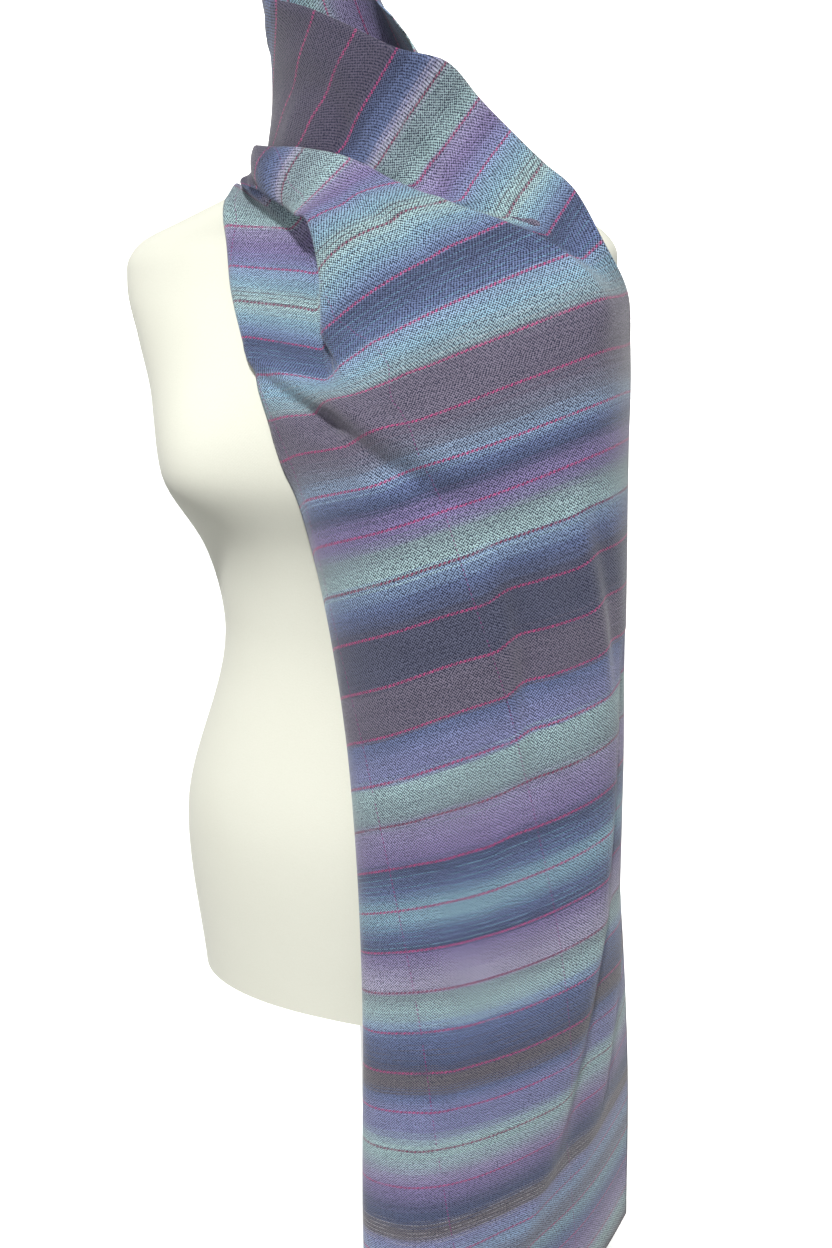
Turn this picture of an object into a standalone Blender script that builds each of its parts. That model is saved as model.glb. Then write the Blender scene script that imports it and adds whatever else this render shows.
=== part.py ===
"""A woven wool scarf wound once round the neck of a limbless dress form.

The scarf is one long cloth. It is described by guide lines that run along it, from the inner end,
round the neck and down the front to the hem. Each guide has a row for each place where it bends, and
a place along the cloth is given in stripes, counted from the front of the neck: the thin weft lines of
the cloth are one stripe apart. Two folds run along the cloth, so that a section across it reads, from
the neck outwards: collar, roll, flap. The roll overhangs the collar above it and the flap below it.

Metres, +Z up. The stand rests on the floor at the origin, and the form's front faces -Y.
"""
from collections import namedtuple
from math import cos, pi, radians, sin

import bmesh
import bpy
import numpy as np
from mathutils import Vector
from mathutils.bvhtree import BVHTree

# Driving dimensions of the dress form
FORM_FOOT = 0.760           # the form's flat lower face
FORM_SIDES = 48
FORM_SQUARENESS = 2.3       # exponent of the rings: 2 is an ellipse
BUST_SPREAD = 0.088         # from the middle to the crown of each side
BUST_HEIGHT = 1.205
BUST_RISE = 0.036
BUST_RADIUS = 0.046
BUST_FRONT = 0.06           # this far in front of the middle the bust is fully there
BELOW_CROWN = 1.6           # how much steeper than sideways the bust is below its crown
ABOVE_CROWN = 0.7           # and above it
BUST_DRIFT = 0.25           # how much of the rise goes sideways
SHOULDER_FOOT = 1.355       # the form's rings stand closer together from here on
LOWER_RINGS = 26
UPPER_RINGS = 13
NECK_CAP = 0.014            # the ring of the neck's rounded top
NECK_CROWN = 0.006
SMOOTH_ANGLE = 50

# Driving dimensions of the stand
BASE_RADIUS = 0.160
BASE_THICKNESS = 0.012
POLE_RADIUS = 0.016
SOCKET_RADIUS = 0.028
SOCKET_HEIGHT = 0.030
ROUND_SIDES = 48
POLE_SIDES = 24

# Driving dimensions of the scarf
STRIPE = 0.034              # from one weft line to the next
CLOTH = 0.0012              # wall
SEAM = 0.0006               # gap between two stretches of the cloth, along it
CLEARANCE = 0.0018          # from the form, or from cloth below, to the middle of the wall
UNDERNEATH = -7             # up to this stripe the cloth lies under the front layer
TOP_LAYER = -1.5            # and from this one on it can lie over it
ONE_FOLD = 3                # stripes within which the cloth belongs to the same folds
NEXT_TO = 1                 # columns within which it is the same layer, or the bend between two
REACH = 0.014               # how far out the cloth below is looked for
FOLD_REACH = 0.005          # the same inside a fold
COVER = 0.0024              # from the middle of one turn's wall to that of the turn over it
DEEPEST = 0.012             # a point of the cloth starts no deeper in the form than this
BLEND = 2                   # steps of smoothing where the cloth is lifted
PASSES = 6                  # how often the cloth is looked over for places to lift
SMALL_STEP = 0.0001         # past a face that was found
SELVEDGE = 0.004            # the last step of the sheet, at the left edge

Ring = namedtuple("Ring", "z half_width front back")
FORM_RINGS = [
    Ring(0.760, 0.156, 0.100, 0.103),
    Ring(0.905, 0.164, 0.108, 0.108),
    Ring(1.078, 0.120, 0.086, 0.078),
    Ring(1.142, 0.133, 0.091, 0.088),
    Ring(1.205, 0.150, 0.102, 0.102),
    Ring(1.300, 0.192, 0.084, 0.092),
    Ring(1.345, 0.206, 0.060, 0.068),
    Ring(1.365, 0.203, 0.051, 0.058),
    Ring(1.377, 0.190, 0.046, 0.053),
    Ring(1.393, 0.147, 0.045, 0.052),
    Ring(1.408, 0.105, 0.045, 0.053),
    Ring(1.420, 0.073, 0.046, 0.053),
    Ring(1.434, 0.056, 0.046, 0.051),
    Ring(1.448, 0.050, 0.046, 0.047),
    Ring(1.462, 0.047, 0.044, 0.045),
]

Guide = namedtuple("Guide", "stripe x y z")

# The selvedge at the neck. From the shoulder on it is the right selvedge, turned to the back.
NECK_EDGE = [
    Guide(-22, 0.034, -0.128, 1.122),
    Guide(-18, 0.034, -0.112, 1.257),
    Guide(-16, 0.040, -0.078, 1.328),
    Guide(-15, 0.048, -0.060, 1.364),
    Guide(-14, 0.058, -0.048, 1.400),
    Guide(-13, 0.074, -0.036, 1.436),
    Guide(-12, 0.070, -0.030, 1.470),
    Guide(-11, 0.062, -0.020, 1.502),
    Guide(-10, 0.042, -0.010, 1.526),
    Guide(-9, 0.021, 0.006, 1.543),
    Guide(-8, 0.004, 0.036, 1.558),
    Guide(-6, -0.048, 0.050, 1.562),
    Guide(-4, -0.067, -0.010, 1.553),
    Guide(-2, -0.004, -0.045, 1.532),
    Guide(-1, 0.031, -0.050, 1.516),
    Guide(0, 0.062, -0.050, 1.501),
    Guide(1, 0.093, -0.035, 1.491),
    Guide(2, 0.111, -0.020, 1.467),
    Guide(3, 0.132, -0.012, 1.444),
    Guide(4, 0.156, -0.010, 1.421),
    Guide(5, 0.180, -0.012, 1.401),
    Guide(6, 0.205, -0.026, 1.366),
    Guide(7, 0.214, 0.004, 1.330),
    Guide(8, 0.212, 0.020, 1.293),
    Guide(12, 0.208, 0.026, 1.156),
    Guide(20, 0.204, 0.038, 0.880),
    Guide(23, 0.208, 0.046, 0.780),
    Guide(26, 0.210, 0.055, 0.682),
    Guide(31, 0.206, 0.074, 0.520),
]

# Where the collar goes in under the roll. From the shoulder on it is the outermost line on the right.
COLLAR_FOOT = [
    Guide(-22, 0.044, -0.134, 1.120),
    Guide(-18, 0.044, -0.120, 1.254),
    Guide(-16, 0.050, -0.083, 1.325),
    Guide(-15, 0.058, -0.065, 1.360),
    Guide(-14, 0.066, -0.052, 1.395),
    Guide(-13, 0.082, -0.036, 1.410),
    Guide(-12, 0.086, -0.012, 1.426),
    Guide(-11, 0.090, 0.020, 1.444),
    Guide(-9, 0.068, 0.052, 1.452),
    Guide(-7, 0.012, 0.074, 1.455),
    Guide(-5, -0.048, 0.060, 1.450),
    Guide(-3, -0.077, 0.012, 1.445),
    Guide(-2, -0.060, -0.018, 1.439),
    Guide(-1, -0.021, -0.049, 1.439),
    Guide(0, 0.015, -0.056, 1.433),
    Guide(1, 0.046, -0.060, 1.421),
    Guide(2, 0.076, -0.058, 1.409),
    Guide(3, 0.108, -0.052, 1.397),
    Guide(4, 0.138, -0.044, 1.384),
    Guide(5, 0.167, -0.038, 1.370),
    Guide(6, 0.193, -0.034, 1.354),
    Guide(7, 0.216, -0.026, 1.328),
    Guide(8, 0.222, -0.026, 1.294),
    Guide(10, 0.228, -0.030, 1.231),
    Guide(14, 0.232, -0.032, 1.092),
    Guide(20, 0.230, -0.032, 0.882),
    Guide(23, 0.224, -0.028, 0.779),
    Guide(26, 0.212, -0.024, 0.676),
    Guide(31, 0.200, -0.010, 0.508),
]

# The upper edge of the roll. From the shoulder on it is the right front of the fall.
ROLL_TOP = [
    Guide(-22, 0.044, -0.134, 1.120),
    Guide(-18, 0.044, -0.120, 1.254),
    Guide(-16, 0.050, -0.083, 1.325),
    Guide(-15, 0.058, -0.065, 1.360),
    Guide(-14, 0.066, -0.052, 1.395),
    Guide(-13, 0.084, -0.040, 1.412),
    Guide(-12, 0.090, -0.010, 1.430),
    Guide(-11, 0.096, 0.024, 1.442),
    Guide(-9, 0.072, 0.066, 1.448),
    Guide(-7, 0.022, 0.088, 1.446),
    Guide(-5, -0.034, 0.080, 1.444),
    Guide(-3, -0.080, 0.046, 1.444),
    Guide(-2, -0.085, 0.010, 1.447),
    Guide(-1, -0.067, -0.028, 1.444),
    Guide(0, -0.042, -0.052, 1.440),
    Guide(1, -0.008, -0.065, 1.436),
    Guide(2, 0.030, -0.066, 1.427),
    Guide(3, 0.066, -0.063, 1.411),
    Guide(4, 0.101, -0.056, 1.396),
    Guide(5, 0.142, -0.047, 1.379),
    Guide(6, 0.186, -0.044, 1.357),
    Guide(7, 0.214, -0.056, 1.328),
    Guide(8, 0.216, -0.068, 1.293),
    Guide(10, 0.220, -0.074, 1.225),
    Guide(14, 0.222, -0.078, 1.082),
    Guide(20, 0.218, -0.082, 0.866),
    Guide(23, 0.200, -0.096, 0.757),
    Guide(26, 0.176, -0.098, 0.652),
    Guide(31, 0.156, -0.082, 0.488),
]

# The middle of the roll, and of the fall below it.
ROLL_MIDDLE = [
    Guide(-22, 0.096, -0.134, 1.108),
    Guide(-18, 0.096, -0.127, 1.240),
    Guide(-16, 0.102, -0.085, 1.312),
    Guide(-15, 0.108, -0.065, 1.347),
    Guide(-14, 0.114, -0.051, 1.381),
    Guide(-13, 0.121, -0.030, 1.403),
    Guide(-12, 0.124, 0.000, 1.412),
    Guide(-11, 0.120, 0.032, 1.424),
    Guide(-9, 0.084, 0.080, 1.424),
    Guide(-7, 0.026, 0.101, 1.418),
    Guide(-5, -0.038, 0.096, 1.420),
    Guide(-3, -0.087, 0.056, 1.428),
    Guide(-2, -0.090, 0.015, 1.438),
    Guide(-1, -0.072, -0.027, 1.437),
    Guide(0, -0.050, -0.059, 1.427),
    Guide(1, -0.020, -0.070, 1.416),
    Guide(2, 0.012, -0.078, 1.408),
    Guide(3, 0.034, -0.082, 1.399),
    Guide(4, 0.052, -0.086, 1.378),
    Guide(5, 0.078, -0.092, 1.347),
    Guide(6, 0.106, -0.098, 1.322),
    Guide(7, 0.136, -0.108, 1.297),
    Guide(8, 0.152, -0.120, 1.268),
    Guide(10, 0.160, -0.130, 1.202),
    Guide(14, 0.164, -0.132, 1.060),
    Guide(20, 0.158, -0.134, 0.842),
    Guide(23, 0.144, -0.140, 0.737),
    Guide(26, 0.126, -0.144, 0.634),
    Guide(31, 0.108, -0.143, 0.472),
]

# The lower edge of the roll, which overhangs the flap down to the bust and then fades into the fall.
ROLL_FOOT = [
    Guide(-22, 0.150, -0.098, 1.090),
    Guide(-18, 0.150, -0.079, 1.220),
    Guide(-16, 0.156, -0.070, 1.294),
    Guide(-15, 0.160, -0.056, 1.328),
    Guide(-14, 0.164, -0.048, 1.366),
    Guide(-13, 0.158, -0.018, 1.395),
    Guide(-12, 0.154, 0.014, 1.398),
    Guide(-11, 0.138, 0.042, 1.404),
    Guide(-9, 0.092, 0.096, 1.396),
    Guide(-7, 0.028, 0.110, 1.390),
    Guide(-5, -0.042, 0.101, 1.394),
    Guide(-3, -0.089, 0.062, 1.410),
    Guide(-2, -0.092, 0.020, 1.427),
    Guide(-1, -0.074, -0.023, 1.427),
    Guide(0, -0.050, -0.058, 1.411),
    Guide(1, -0.022, -0.072, 1.399),
    Guide(2, -0.007, -0.082, 1.392),
    Guide(3, 0.008, -0.090, 1.386),
    Guide(4, 0.018, -0.096, 1.352),
    Guide(5, 0.026, -0.108, 1.309),
    Guide(6, 0.043, -0.120, 1.286),
    Guide(7, 0.058, -0.133, 1.265),
    Guide(8, 0.080, -0.146, 1.241),
    Guide(10, 0.092, -0.152, 1.178),
    Guide(14, 0.096, -0.151, 1.032),
    Guide(20, 0.096, -0.150, 0.828),
    Guide(26, 0.086, -0.152, 0.628),
    Guide(31, 0.082, -0.151, 0.466),
]

# Where the flap comes out from under the roll.
FLAP_TOP = [
    Guide(-22, 0.150, -0.098, 1.090),
    Guide(-18, 0.150, -0.079, 1.220),
    Guide(-16, 0.156, -0.070, 1.294),
    Guide(-15, 0.160, -0.056, 1.328),
    Guide(-14, 0.164, -0.048, 1.366),
    Guide(-13, 0.158, -0.014, 1.393),
    Guide(-12, 0.154, 0.016, 1.396),
    Guide(-11, 0.138, 0.042, 1.394),
    Guide(-9, 0.096, 0.090, 1.380),
    Guide(-7, 0.036, 0.105, 1.374),
    Guide(-5, -0.026, 0.098, 1.378),
    Guide(-3, -0.080, 0.064, 1.396),
    Guide(-2, -0.091, 0.032, 1.411),
    Guide(-1, -0.087, -0.006, 1.422),
    Guide(0, -0.072, -0.044, 1.416),
    Guide(1, -0.045, -0.054, 1.399),
    Guide(2, -0.024, -0.056, 1.382),
    Guide(3, 0.004, -0.070, 1.350),
    Guide(4, 0.012, -0.088, 1.324),
    Guide(5, 0.021, -0.101, 1.297),
    Guide(6, 0.030, -0.113, 1.276),
    Guide(7, 0.030, -0.124, 1.256),
    Guide(8, 0.040, -0.134, 1.231),
    Guide(10, 0.050, -0.145, 1.165),
    Guide(14, 0.064, -0.147, 1.020),
    Guide(20, 0.068, -0.147, 0.820),
    Guide(26, 0.062, -0.148, 0.624),
    Guide(31, 0.060, -0.147, 0.462),
]

# The left edge, where the cloth turns back a little.
LEFT_EDGE = [
    Guide(-22, 0.155, -0.090, 1.088),
    Guide(-18, 0.155, -0.069, 1.218),
    Guide(-16, 0.161, -0.059, 1.292),
    Guide(-15, 0.166, -0.048, 1.326),
    Guide(-14, 0.171, -0.041, 1.365),
    Guide(-13, 0.167, -0.008, 1.395),
    Guide(-12, 0.166, 0.026, 1.388),
    Guide(-11, 0.158, 0.056, 1.370),
    Guide(-9, 0.110, 0.104, 1.325),
    Guide(-7, 0.044, 0.117, 1.312),
    Guide(-5, -0.024, 0.115, 1.312),
    Guide(-3, -0.076, 0.098, 1.336),
    Guide(-1, -0.110, 0.056, 1.382),
    Guide(0, -0.109, 0.022, 1.413),
    Guide(1, -0.098, -0.014, 1.416),
    Guide(2, -0.090, -0.042, 1.385),
    Guide(3, -0.079, -0.062, 1.356),
    Guide(4, -0.066, -0.080, 1.331),
    Guide(5, -0.052, -0.094, 1.306),
    Guide(6, -0.037, -0.107, 1.280),
    Guide(7, -0.023, -0.117, 1.250),
    Guide(8, -0.013, -0.121, 1.219),
    Guide(9, -0.001, -0.123, 1.187),
    Guide(10, 0.008, -0.124, 1.152),
    Guide(12, 0.023, -0.127, 1.078),
    Guide(14, 0.034, -0.131, 1.008),
    Guide(16, 0.040, -0.134, 0.939),
    Guide(20, 0.043, -0.135, 0.816),
    Guide(26, 0.038, -0.135, 0.624),
    Guide(31, 0.036, -0.134, 0.462),
]

# How deep the two folds are, how high each of their layers stands, and how far the left edge turns back.
Fold = namedtuple("Fold", "stripe collar_tuck collar_rise flap_tuck flap_rise turn_back")
FOLDS = [
    Fold(-22, 0.030, 0.0024, 0.030, 0.0024, 0.000),
    Fold(-14, 0.028, 0.0024, 0.026, 0.0024, 0.000),
    Fold(-12, 0.024, 0.0026, 0.024, 0.0026, 0.000),
    Fold(-9, 0.028, 0.0036, 0.026, 0.0032, 0.000),
    Fold(-4, 0.018, 0.0036, 0.016, 0.0034, 0.000),
    Fold(-3, 0.013, 0.0036, 0.003, 0.0022, 0.000),
    Fold(-2.5, 0.011, 0.0034, 0.000, 0.0010, 0.000),
    Fold(-2, 0.010, 0.0032, 0.000, 0.0000, 0.000),
    Fold(-1, 0.008, 0.0028, 0.000, 0.0000, 0.000),
    Fold(-0.5, 0.009, 0.0026, 0.000, 0.0000, 0.000),
    Fold(0, 0.012, 0.0028, 0.000, 0.0008, 0.001),
    Fold(0.5, 0.015, 0.0032, 0.006, 0.0026, 0.001),
    Fold(1, 0.018, 0.0036, 0.015, 0.0038, 0.002),
    Fold(2, 0.024, 0.0040, 0.019, 0.0044, 0.004),
    Fold(3, 0.020, 0.0040, 0.018, 0.0044, 0.005),
    Fold(4, 0.012, 0.0038, 0.012, 0.0042, 0.006),
    Fold(5, 0.005, 0.0030, 0.006, 0.0034, 0.007),
    Fold(6, 0.001, 0.0016, 0.002, 0.0020, 0.008),
    Fold(7, 0.000, 0.0000, 0.000, 0.0000, 0.009),
    Fold(8, 0.000, 0.0000, 0.000, 0.0000, 0.010),
    Fold(31, 0.000, 0.0000, 0.000, 0.0000, 0.012),
]

# The largest creases. Each runs straight over the cloth, from one place to another, given as a stripe
# and a distance from the left edge. It is a ridge, or with a negative rise a trough.
Crease = namedtuple("Crease", "from_stripe from_across to_stripe to_across width rise")
CREASES = [
    Crease(5.7, 0.000, 10.4, 0.156, 0.012, -0.011),
    Crease(5.2, 0.010, 9.8, 0.172, 0.014, 0.007),
    Crease(14.0, 0.285, 20.0, 0.240, 0.013, -0.006),
    Crease(17.5, 0.262, 26.5, 0.208, 0.015, -0.006),
    Crease(15.5, 0.272, 29.0, 0.150, 0.022, 0.003),
    Crease(20.5, 0.290, 27.5, 0.232, 0.013, 0.004),
    Crease(13.2, 0.172, 17.2, 0.128, 0.014, -0.003),
]

# How many steps the grid has over each part of a section.
COLLAR_STEPS = 4
ROLL_STEPS = 8
FLAP_STEPS = 5

# The layer of each column of the grid, where the cloth is folded: 0 lies lowest, 1 is turned back
# under the roll and 2 is the roll. Each edge of a fold takes three columns, with one more between two.
TURN_BACK = [0, 0.5, 1, 1, 1, 1.5, 2]
COLLAR_LAYERS = [0] * (COLLAR_STEPS + 2)
ROLL_LAYERS = [2] * (ROLL_STEPS - 1)
FLAP_LAYERS = [0] * (FLAP_STEPS + 3)
STACK = COLLAR_LAYERS + TURN_BACK + ROLL_LAYERS + TURN_BACK[::-1] + FLAP_LAYERS

FULL_FOLD = 0.0025          # the rise at which a fold is fully there
SPREAD = 0.3                # the most of a fold's depth that its rounded edge may take
NEXT_LAYER = 0.4            # faces this far apart in the stack are different layers
FADE = 0.7                  # how slowly a crease fades towards its ends
ROUNDED_FROM = 6.0          # from this stripe on the sections are rounded
ROUNDED_FULLY = 8.0
ROUNDINGS = 10

# The stretches of the cloth, a node each.
Stretch = namedtuple("Stretch", "name start end rows_per_stripe")
STRETCHES = [
    Stretch("inner_end", -22, -11, 1.0),
    Stretch("neck_turn", -11, -4, 2.0),
    Stretch("chest_spread", -4, 8, 2.5),
    Stretch("front_fall", 8, 31, 0.8),
]

Finish = namedtuple("Finish", "colour roughness metallic")
WOOL = Finish((0.100, 0.130, 0.260), 0.85, 0.0)
JERSEY = Finish((0.760, 0.720, 0.610), 0.80, 0.0)
STEEL = Finish((0.550, 0.550, 0.560), 0.35, 1.0)
PAINT = Finish((0.600, 0.590, 0.570), 0.50, 0.0)


def clear_scene():
    """Remove every object of the open scene."""
    for thing in list(bpy.data.objects):
        bpy.data.objects.remove(thing, do_unlink=True)


def material(name, finish):
    """A Principled material of the given finish."""
    made = bpy.data.materials.new(name)
    made.use_nodes = True
    shader = made.node_tree.nodes["Principled BSDF"]
    shader.inputs["Base Color"].default_value = (*finish.colour, 1.0)
    shader.inputs["Roughness"].default_value = finish.roughness
    shader.inputs["Metallic"].default_value = finish.metallic
    return made


def place(name, mesh, finish):
    """Put a mesh in the scene as a smooth object with its own material."""
    mesh.materials.append(material(name + "_finish", finish))
    mesh.shade_smooth()
    mesh.set_sharp_from_angle(angle=radians(SMOOTH_ANGLE))
    thing = bpy.data.objects.new(name, mesh)
    bpy.context.scene.collection.objects.link(thing)
    return thing


def spline(rows, key, wanted):
    """A smooth line through the rows' values, without overshoot, read at the wanted places."""
    at = np.array([getattr(row, key[0]) for row in rows], dtype=float)
    values = np.array([[getattr(row, name) for name in key[1:]] for row in rows], dtype=float)
    slopes = np.empty_like(values)
    step = np.diff(at)[:, None]
    rise = np.diff(values, axis=0) / step
    slopes[0], slopes[-1] = rise[0], rise[-1]
    before, after = step[:-1], step[1:]
    slopes[1:-1] = (rise[:-1] * after + rise[1:] * before) / (before + after)
    span = np.clip(np.searchsorted(at, wanted, side="right") - 1, 0, len(at) - 2)
    width = (at[span + 1] - at[span])[:, None]
    t = (np.asarray(wanted) - at[span])[:, None] / width
    start, end = values[span], values[span + 1]
    return (
        start * (2 * t**3 - 3 * t**2 + 1)
        + end * (3 * t**2 - 2 * t**3)
        + slopes[span] * width * (t**3 - 2 * t**2 + t)
        + slopes[span + 1] * width * (t**3 - t**2)
    )


# ---------------------------------------------------------------- the dress form and its stand

def form_ring(height):
    """The points of the form's outline at a height, with the bust's two crowns on the front."""
    half_width, front, back = spline(FORM_RINGS, ("z", "half_width", "front", "back"), [height])[0]
    ring = []
    for side in range(FORM_SIDES):
        angle = 2 * pi * side / FORM_SIDES
        across, along = cos(angle), sin(angle)
        power = 2 / FORM_SQUARENESS
        x = half_width * abs(across) ** power * (1 if across >= 0 else -1)
        depth = back if along >= 0 else front
        y = depth * abs(along) ** power * (1 if along >= 0 else -1)
        ring.append(bust_point(x, y, height))
    return ring


def bust_point(x, y, z):
    """A point of the plain outline, moved out where the bust rises."""
    facing = min(1.0, max(0.0, -y / BUST_FRONT))
    steepness = BELOW_CROWN if z < BUST_HEIGHT else ABOVE_CROWN
    moved = 0.0
    drift = 0.0
    for side in (-1, 1):
        away = (x - side * BUST_SPREAD) ** 2 + steepness * (z - BUST_HEIGHT) ** 2
        rise = BUST_RISE * np.exp(-away / (2 * BUST_RADIUS**2)) * facing
        moved += rise
        drift += side * BUST_DRIFT * rise
    return (x + drift, y - moved, z)


def make_form():
    """The torso: rings from the flat foot to the neck, closed by a flat foot and a rounded top."""
    shape = bmesh.new()
    lower = np.linspace(FORM_FOOT, SHOULDER_FOOT, LOWER_RINGS)
    upper = np.linspace(SHOULDER_FOOT, FORM_RINGS[-1].z, UPPER_RINGS)[1:]
    rings = []
    for height in [*lower, *upper]:
        rings.append([shape.verts.new(point) for point in form_ring(height)])
    for below, above in zip(rings, rings[1:]):
        for side in range(FORM_SIDES):
            ahead = (side + 1) % FORM_SIDES
            shape.faces.new((below[side], below[ahead], above[ahead], above[side]))
    shape.faces.new(list(reversed(rings[0])))
    top = shape.faces.new(rings[-1])
    bmesh.ops.inset_individual(shape, faces=[top], thickness=NECK_CAP, depth=NECK_CROWN)
    shape.normal_update()
    mesh = bpy.data.meshes.new("form_torso")
    shape.to_mesh(mesh)
    shape.free()
    return place("form_torso", mesh, JERSEY)


def make_disc(name, radius, height, foot, finish, sides):
    """An upright round bar with its lower face at the given height."""
    shape = bmesh.new()
    bmesh.ops.create_cone(shape, cap_ends=True, segments=sides, radius1=radius, radius2=radius, depth=height)
    bmesh.ops.translate(shape, vec=(0, 0, foot + height / 2), verts=shape.verts)
    mesh = bpy.data.meshes.new(name)
    shape.to_mesh(mesh)
    shape.free()
    return place(name, mesh, finish)


def make_stand():
    """The flat base, the pole and the socket that the form stands on."""
    make_disc("stand_base", BASE_RADIUS, BASE_THICKNESS, 0.0, STEEL, ROUND_SIDES)
    pole_foot = BASE_THICKNESS + SEAM
    socket_foot = FORM_FOOT - SEAM - SOCKET_HEIGHT
    make_disc("stand_pole", POLE_RADIUS, socket_foot - SEAM - pole_foot, pole_foot, STEEL, POLE_SIDES)
    make_disc("stand_socket", SOCKET_RADIUS, SOCKET_HEIGHT, socket_foot, PAINT, POLE_SIDES)


# ---------------------------------------------------------------- the scarf

def to_unit(vectors):
    """The vectors, each scaled to a length of one."""
    size = np.linalg.norm(vectors, axis=-1, keepdims=True)
    return vectors / np.maximum(size, 1e-9)


def form_facing(points, form):
    """The direction away from the form at each point."""
    return to_unit(np.array([tuple(form.find_nearest(Vector(point))[1]) for point in points]))


def form_height(place, form):
    """How far a point lies from the form, less than nothing inside it, and the direction out."""
    foot, facing, _, _ = form.find_nearest(place)
    away = place - foot
    outside = away.dot(facing) >= 0 or away.length > DEEPEST
    height = away.length if outside else -away.length
    return height, away.normalized() if height > CLOTH else facing


def hairpin(tip, run_in, run_out, facing, low, high, room):
    """Three points round a fold's edge, or along the cloth where the fold has faded.

    The cloth comes in along run_in at the height low and leaves along run_out at the height high.
    The room is the distance to the next fold's edge.
    """
    rise = high - low
    turn = (1 - (run_in * run_out).sum(axis=1, keepdims=True)) / 2
    folded = np.clip(np.abs(rise) / FULL_FOLD, 0, 1) * turn
    spread = (1 - folded) * np.minimum(FULL_FOLD, SPREAD * room)
    first = tip + facing * low - spread * run_in
    middle = tip + facing * (low + high) / 2 + folded * np.abs(rise) / 2 * run_in
    last = tip + facing * high + spread * run_out
    return [(first, low), (middle, (low + high) / 2), (last, high)]


def straight(start, end, steps):
    """Evenly spaced points from start to end, on the lowest layer."""
    return [(start + (end - start) * step / steps, 0 * start[:, :1]) for step in range(steps + 1)]


def cloth_sheet(stripes, form):
    """The middle of the cloth's wall as a grid of points, a row for each stripe and a column across.

    Two more grids give the height of each point's layer over what it lies on, and its place in the
    stack: 0 for the lowest layer of a fold, 1 for the one turned back and 2 for the roll.
    """
    line = ("stripe", "x", "y", "z")
    neck, collar_foot, roll_top, middle, roll_foot, flap_top, left = (
        spline(rows, line, stripes)
        for rows in (NECK_EDGE, COLLAR_FOOT, ROLL_TOP, ROLL_MIDDLE, ROLL_FOOT, FLAP_TOP, LEFT_EDGE)
    )
    folds = np.maximum(spline(FOLDS, Fold._fields, stripes), 0)
    collar_tuck, collar_rise, flap_tuck, flap_rise, turn_back = (folds[:, i : i + 1] for i in range(5))
    face_top = form_facing(roll_top, form)
    face_foot = form_facing(roll_foot, form)
    under_top = roll_top - 2 * collar_rise * face_top
    under_foot = roll_foot - 2 * flap_rise * face_foot
    collar_foot = lowered(collar_foot, under_top, face_top, collar_rise)
    flap_top = lowered(flap_top, under_foot, face_foot, flap_rise)

    roll = (roll_top, middle, roll_foot)
    breadth = np.linalg.norm(roll_foot - roll_top, axis=1, keepdims=True)
    collar_tip = under_roll(roll, collar_tuck / breadth, 2 * collar_rise, form)
    collar_tip += (collar_foot - under_top) / 2
    flap_tip = under_roll(roll, 1 - flap_tuck / breadth, 2 * flap_rise, form)
    flap_tip += (flap_top - under_foot) / 2
    out_of_tuck = to_unit(under_top - collar_tip)
    into_flap = to_unit(flap_tip - under_foot)
    over_roll = to_unit(middle - roll_top)
    into_tuck = to_unit(collar_tip - collar_foot)
    onto_flap = to_unit(flap_top - flap_tip)
    collar_room = np.linalg.norm(collar_tip - under_top, axis=1, keepdims=True)
    flap_room = np.linalg.norm(flap_tip - under_foot, axis=1, keepdims=True)
    across = to_unit(left - flap_top)
    left = left - SELVEDGE * across

    points = straight(neck, collar_foot, COLLAR_STEPS)
    face = form_facing(collar_tip, form)
    tuck = hairpin(collar_tip, into_tuck, out_of_tuck, face, 0 * collar_rise, collar_rise, collar_room)
    edge = hairpin(
        under_top, out_of_tuck, over_roll, face_top, collar_rise, 2 * collar_rise, collar_room
    )
    points += [halfway(points[-1], tuck[0]), *tuck, halfway(tuck[-1], edge[0]), *edge]
    for step in range(1, ROLL_STEPS):
        part = step / ROLL_STEPS
        layer = 2 * (collar_rise + (flap_rise - collar_rise) * part)
        points.append((bend(*roll, part), layer))
    off_roll = to_unit(roll_foot - middle)
    edge = hairpin(under_foot, off_roll, into_flap, face_foot, 2 * flap_rise, flap_rise, flap_room)
    face = form_facing(flap_tip, form)
    tuck = hairpin(flap_tip, into_flap, onto_flap, face, flap_rise, 0 * flap_rise, flap_room)
    flap = straight(flap_top, left, FLAP_STEPS)
    points += [*edge, halfway(edge[-1], tuck[0]), *tuck, halfway(tuck[-1], flap[0]), *flap]
    behind = to_unit(np.cross(np.gradient(left, axis=0), across))
    points.append((left + SELVEDGE * across + turn_back * behind, 0 * turn_back))
    sheet = np.stack([point for point, _ in points], axis=1)
    layers = np.concatenate([layer for _, layer in points], axis=1)
    stack = np.zeros(layers.shape)
    folded = (layers > 0).any(axis=1)
    stack[folded] = STACK
    return creased(rounded(sheet, stripes), stripes), layers, stack


def rounded(sheet, stripes):
    """The sheet with the sections of the fall made smooth, where the folds have run out."""
    share = np.clip((stripes - ROUNDED_FROM) / (ROUNDED_FULLY - ROUNDED_FROM), 0, 1)[:, None, None]
    for _ in range(ROUNDINGS):
        between = (sheet[:, :-2] + sheet[:, 2:]) / 2
        moved = sheet[:, 1:-1] + share * (between - sheet[:, 1:-1]) / 2
        sheet = np.concatenate([sheet[:, :1], moved, sheet[:, -1:]], axis=1)
    return sheet


def halfway(start, end):
    """The point, and its layer's height, between two others."""
    return tuple((a + b) / 2 for a, b in zip(start, end))


def under_roll(roll, part, depth, form):
    """The points at a depth under the roll, a part of the way over it."""
    above = bend(*roll, part)
    return above - depth * form_facing(above, form)


def lowered(line, under, facing, rise):
    """The line, moved in where it stands higher than the fold that lies on it."""
    excess = ((line - under) * facing).sum(axis=1, keepdims=True)
    return line - np.where(rise > 0, np.maximum(excess, 0), 0) * facing


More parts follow.
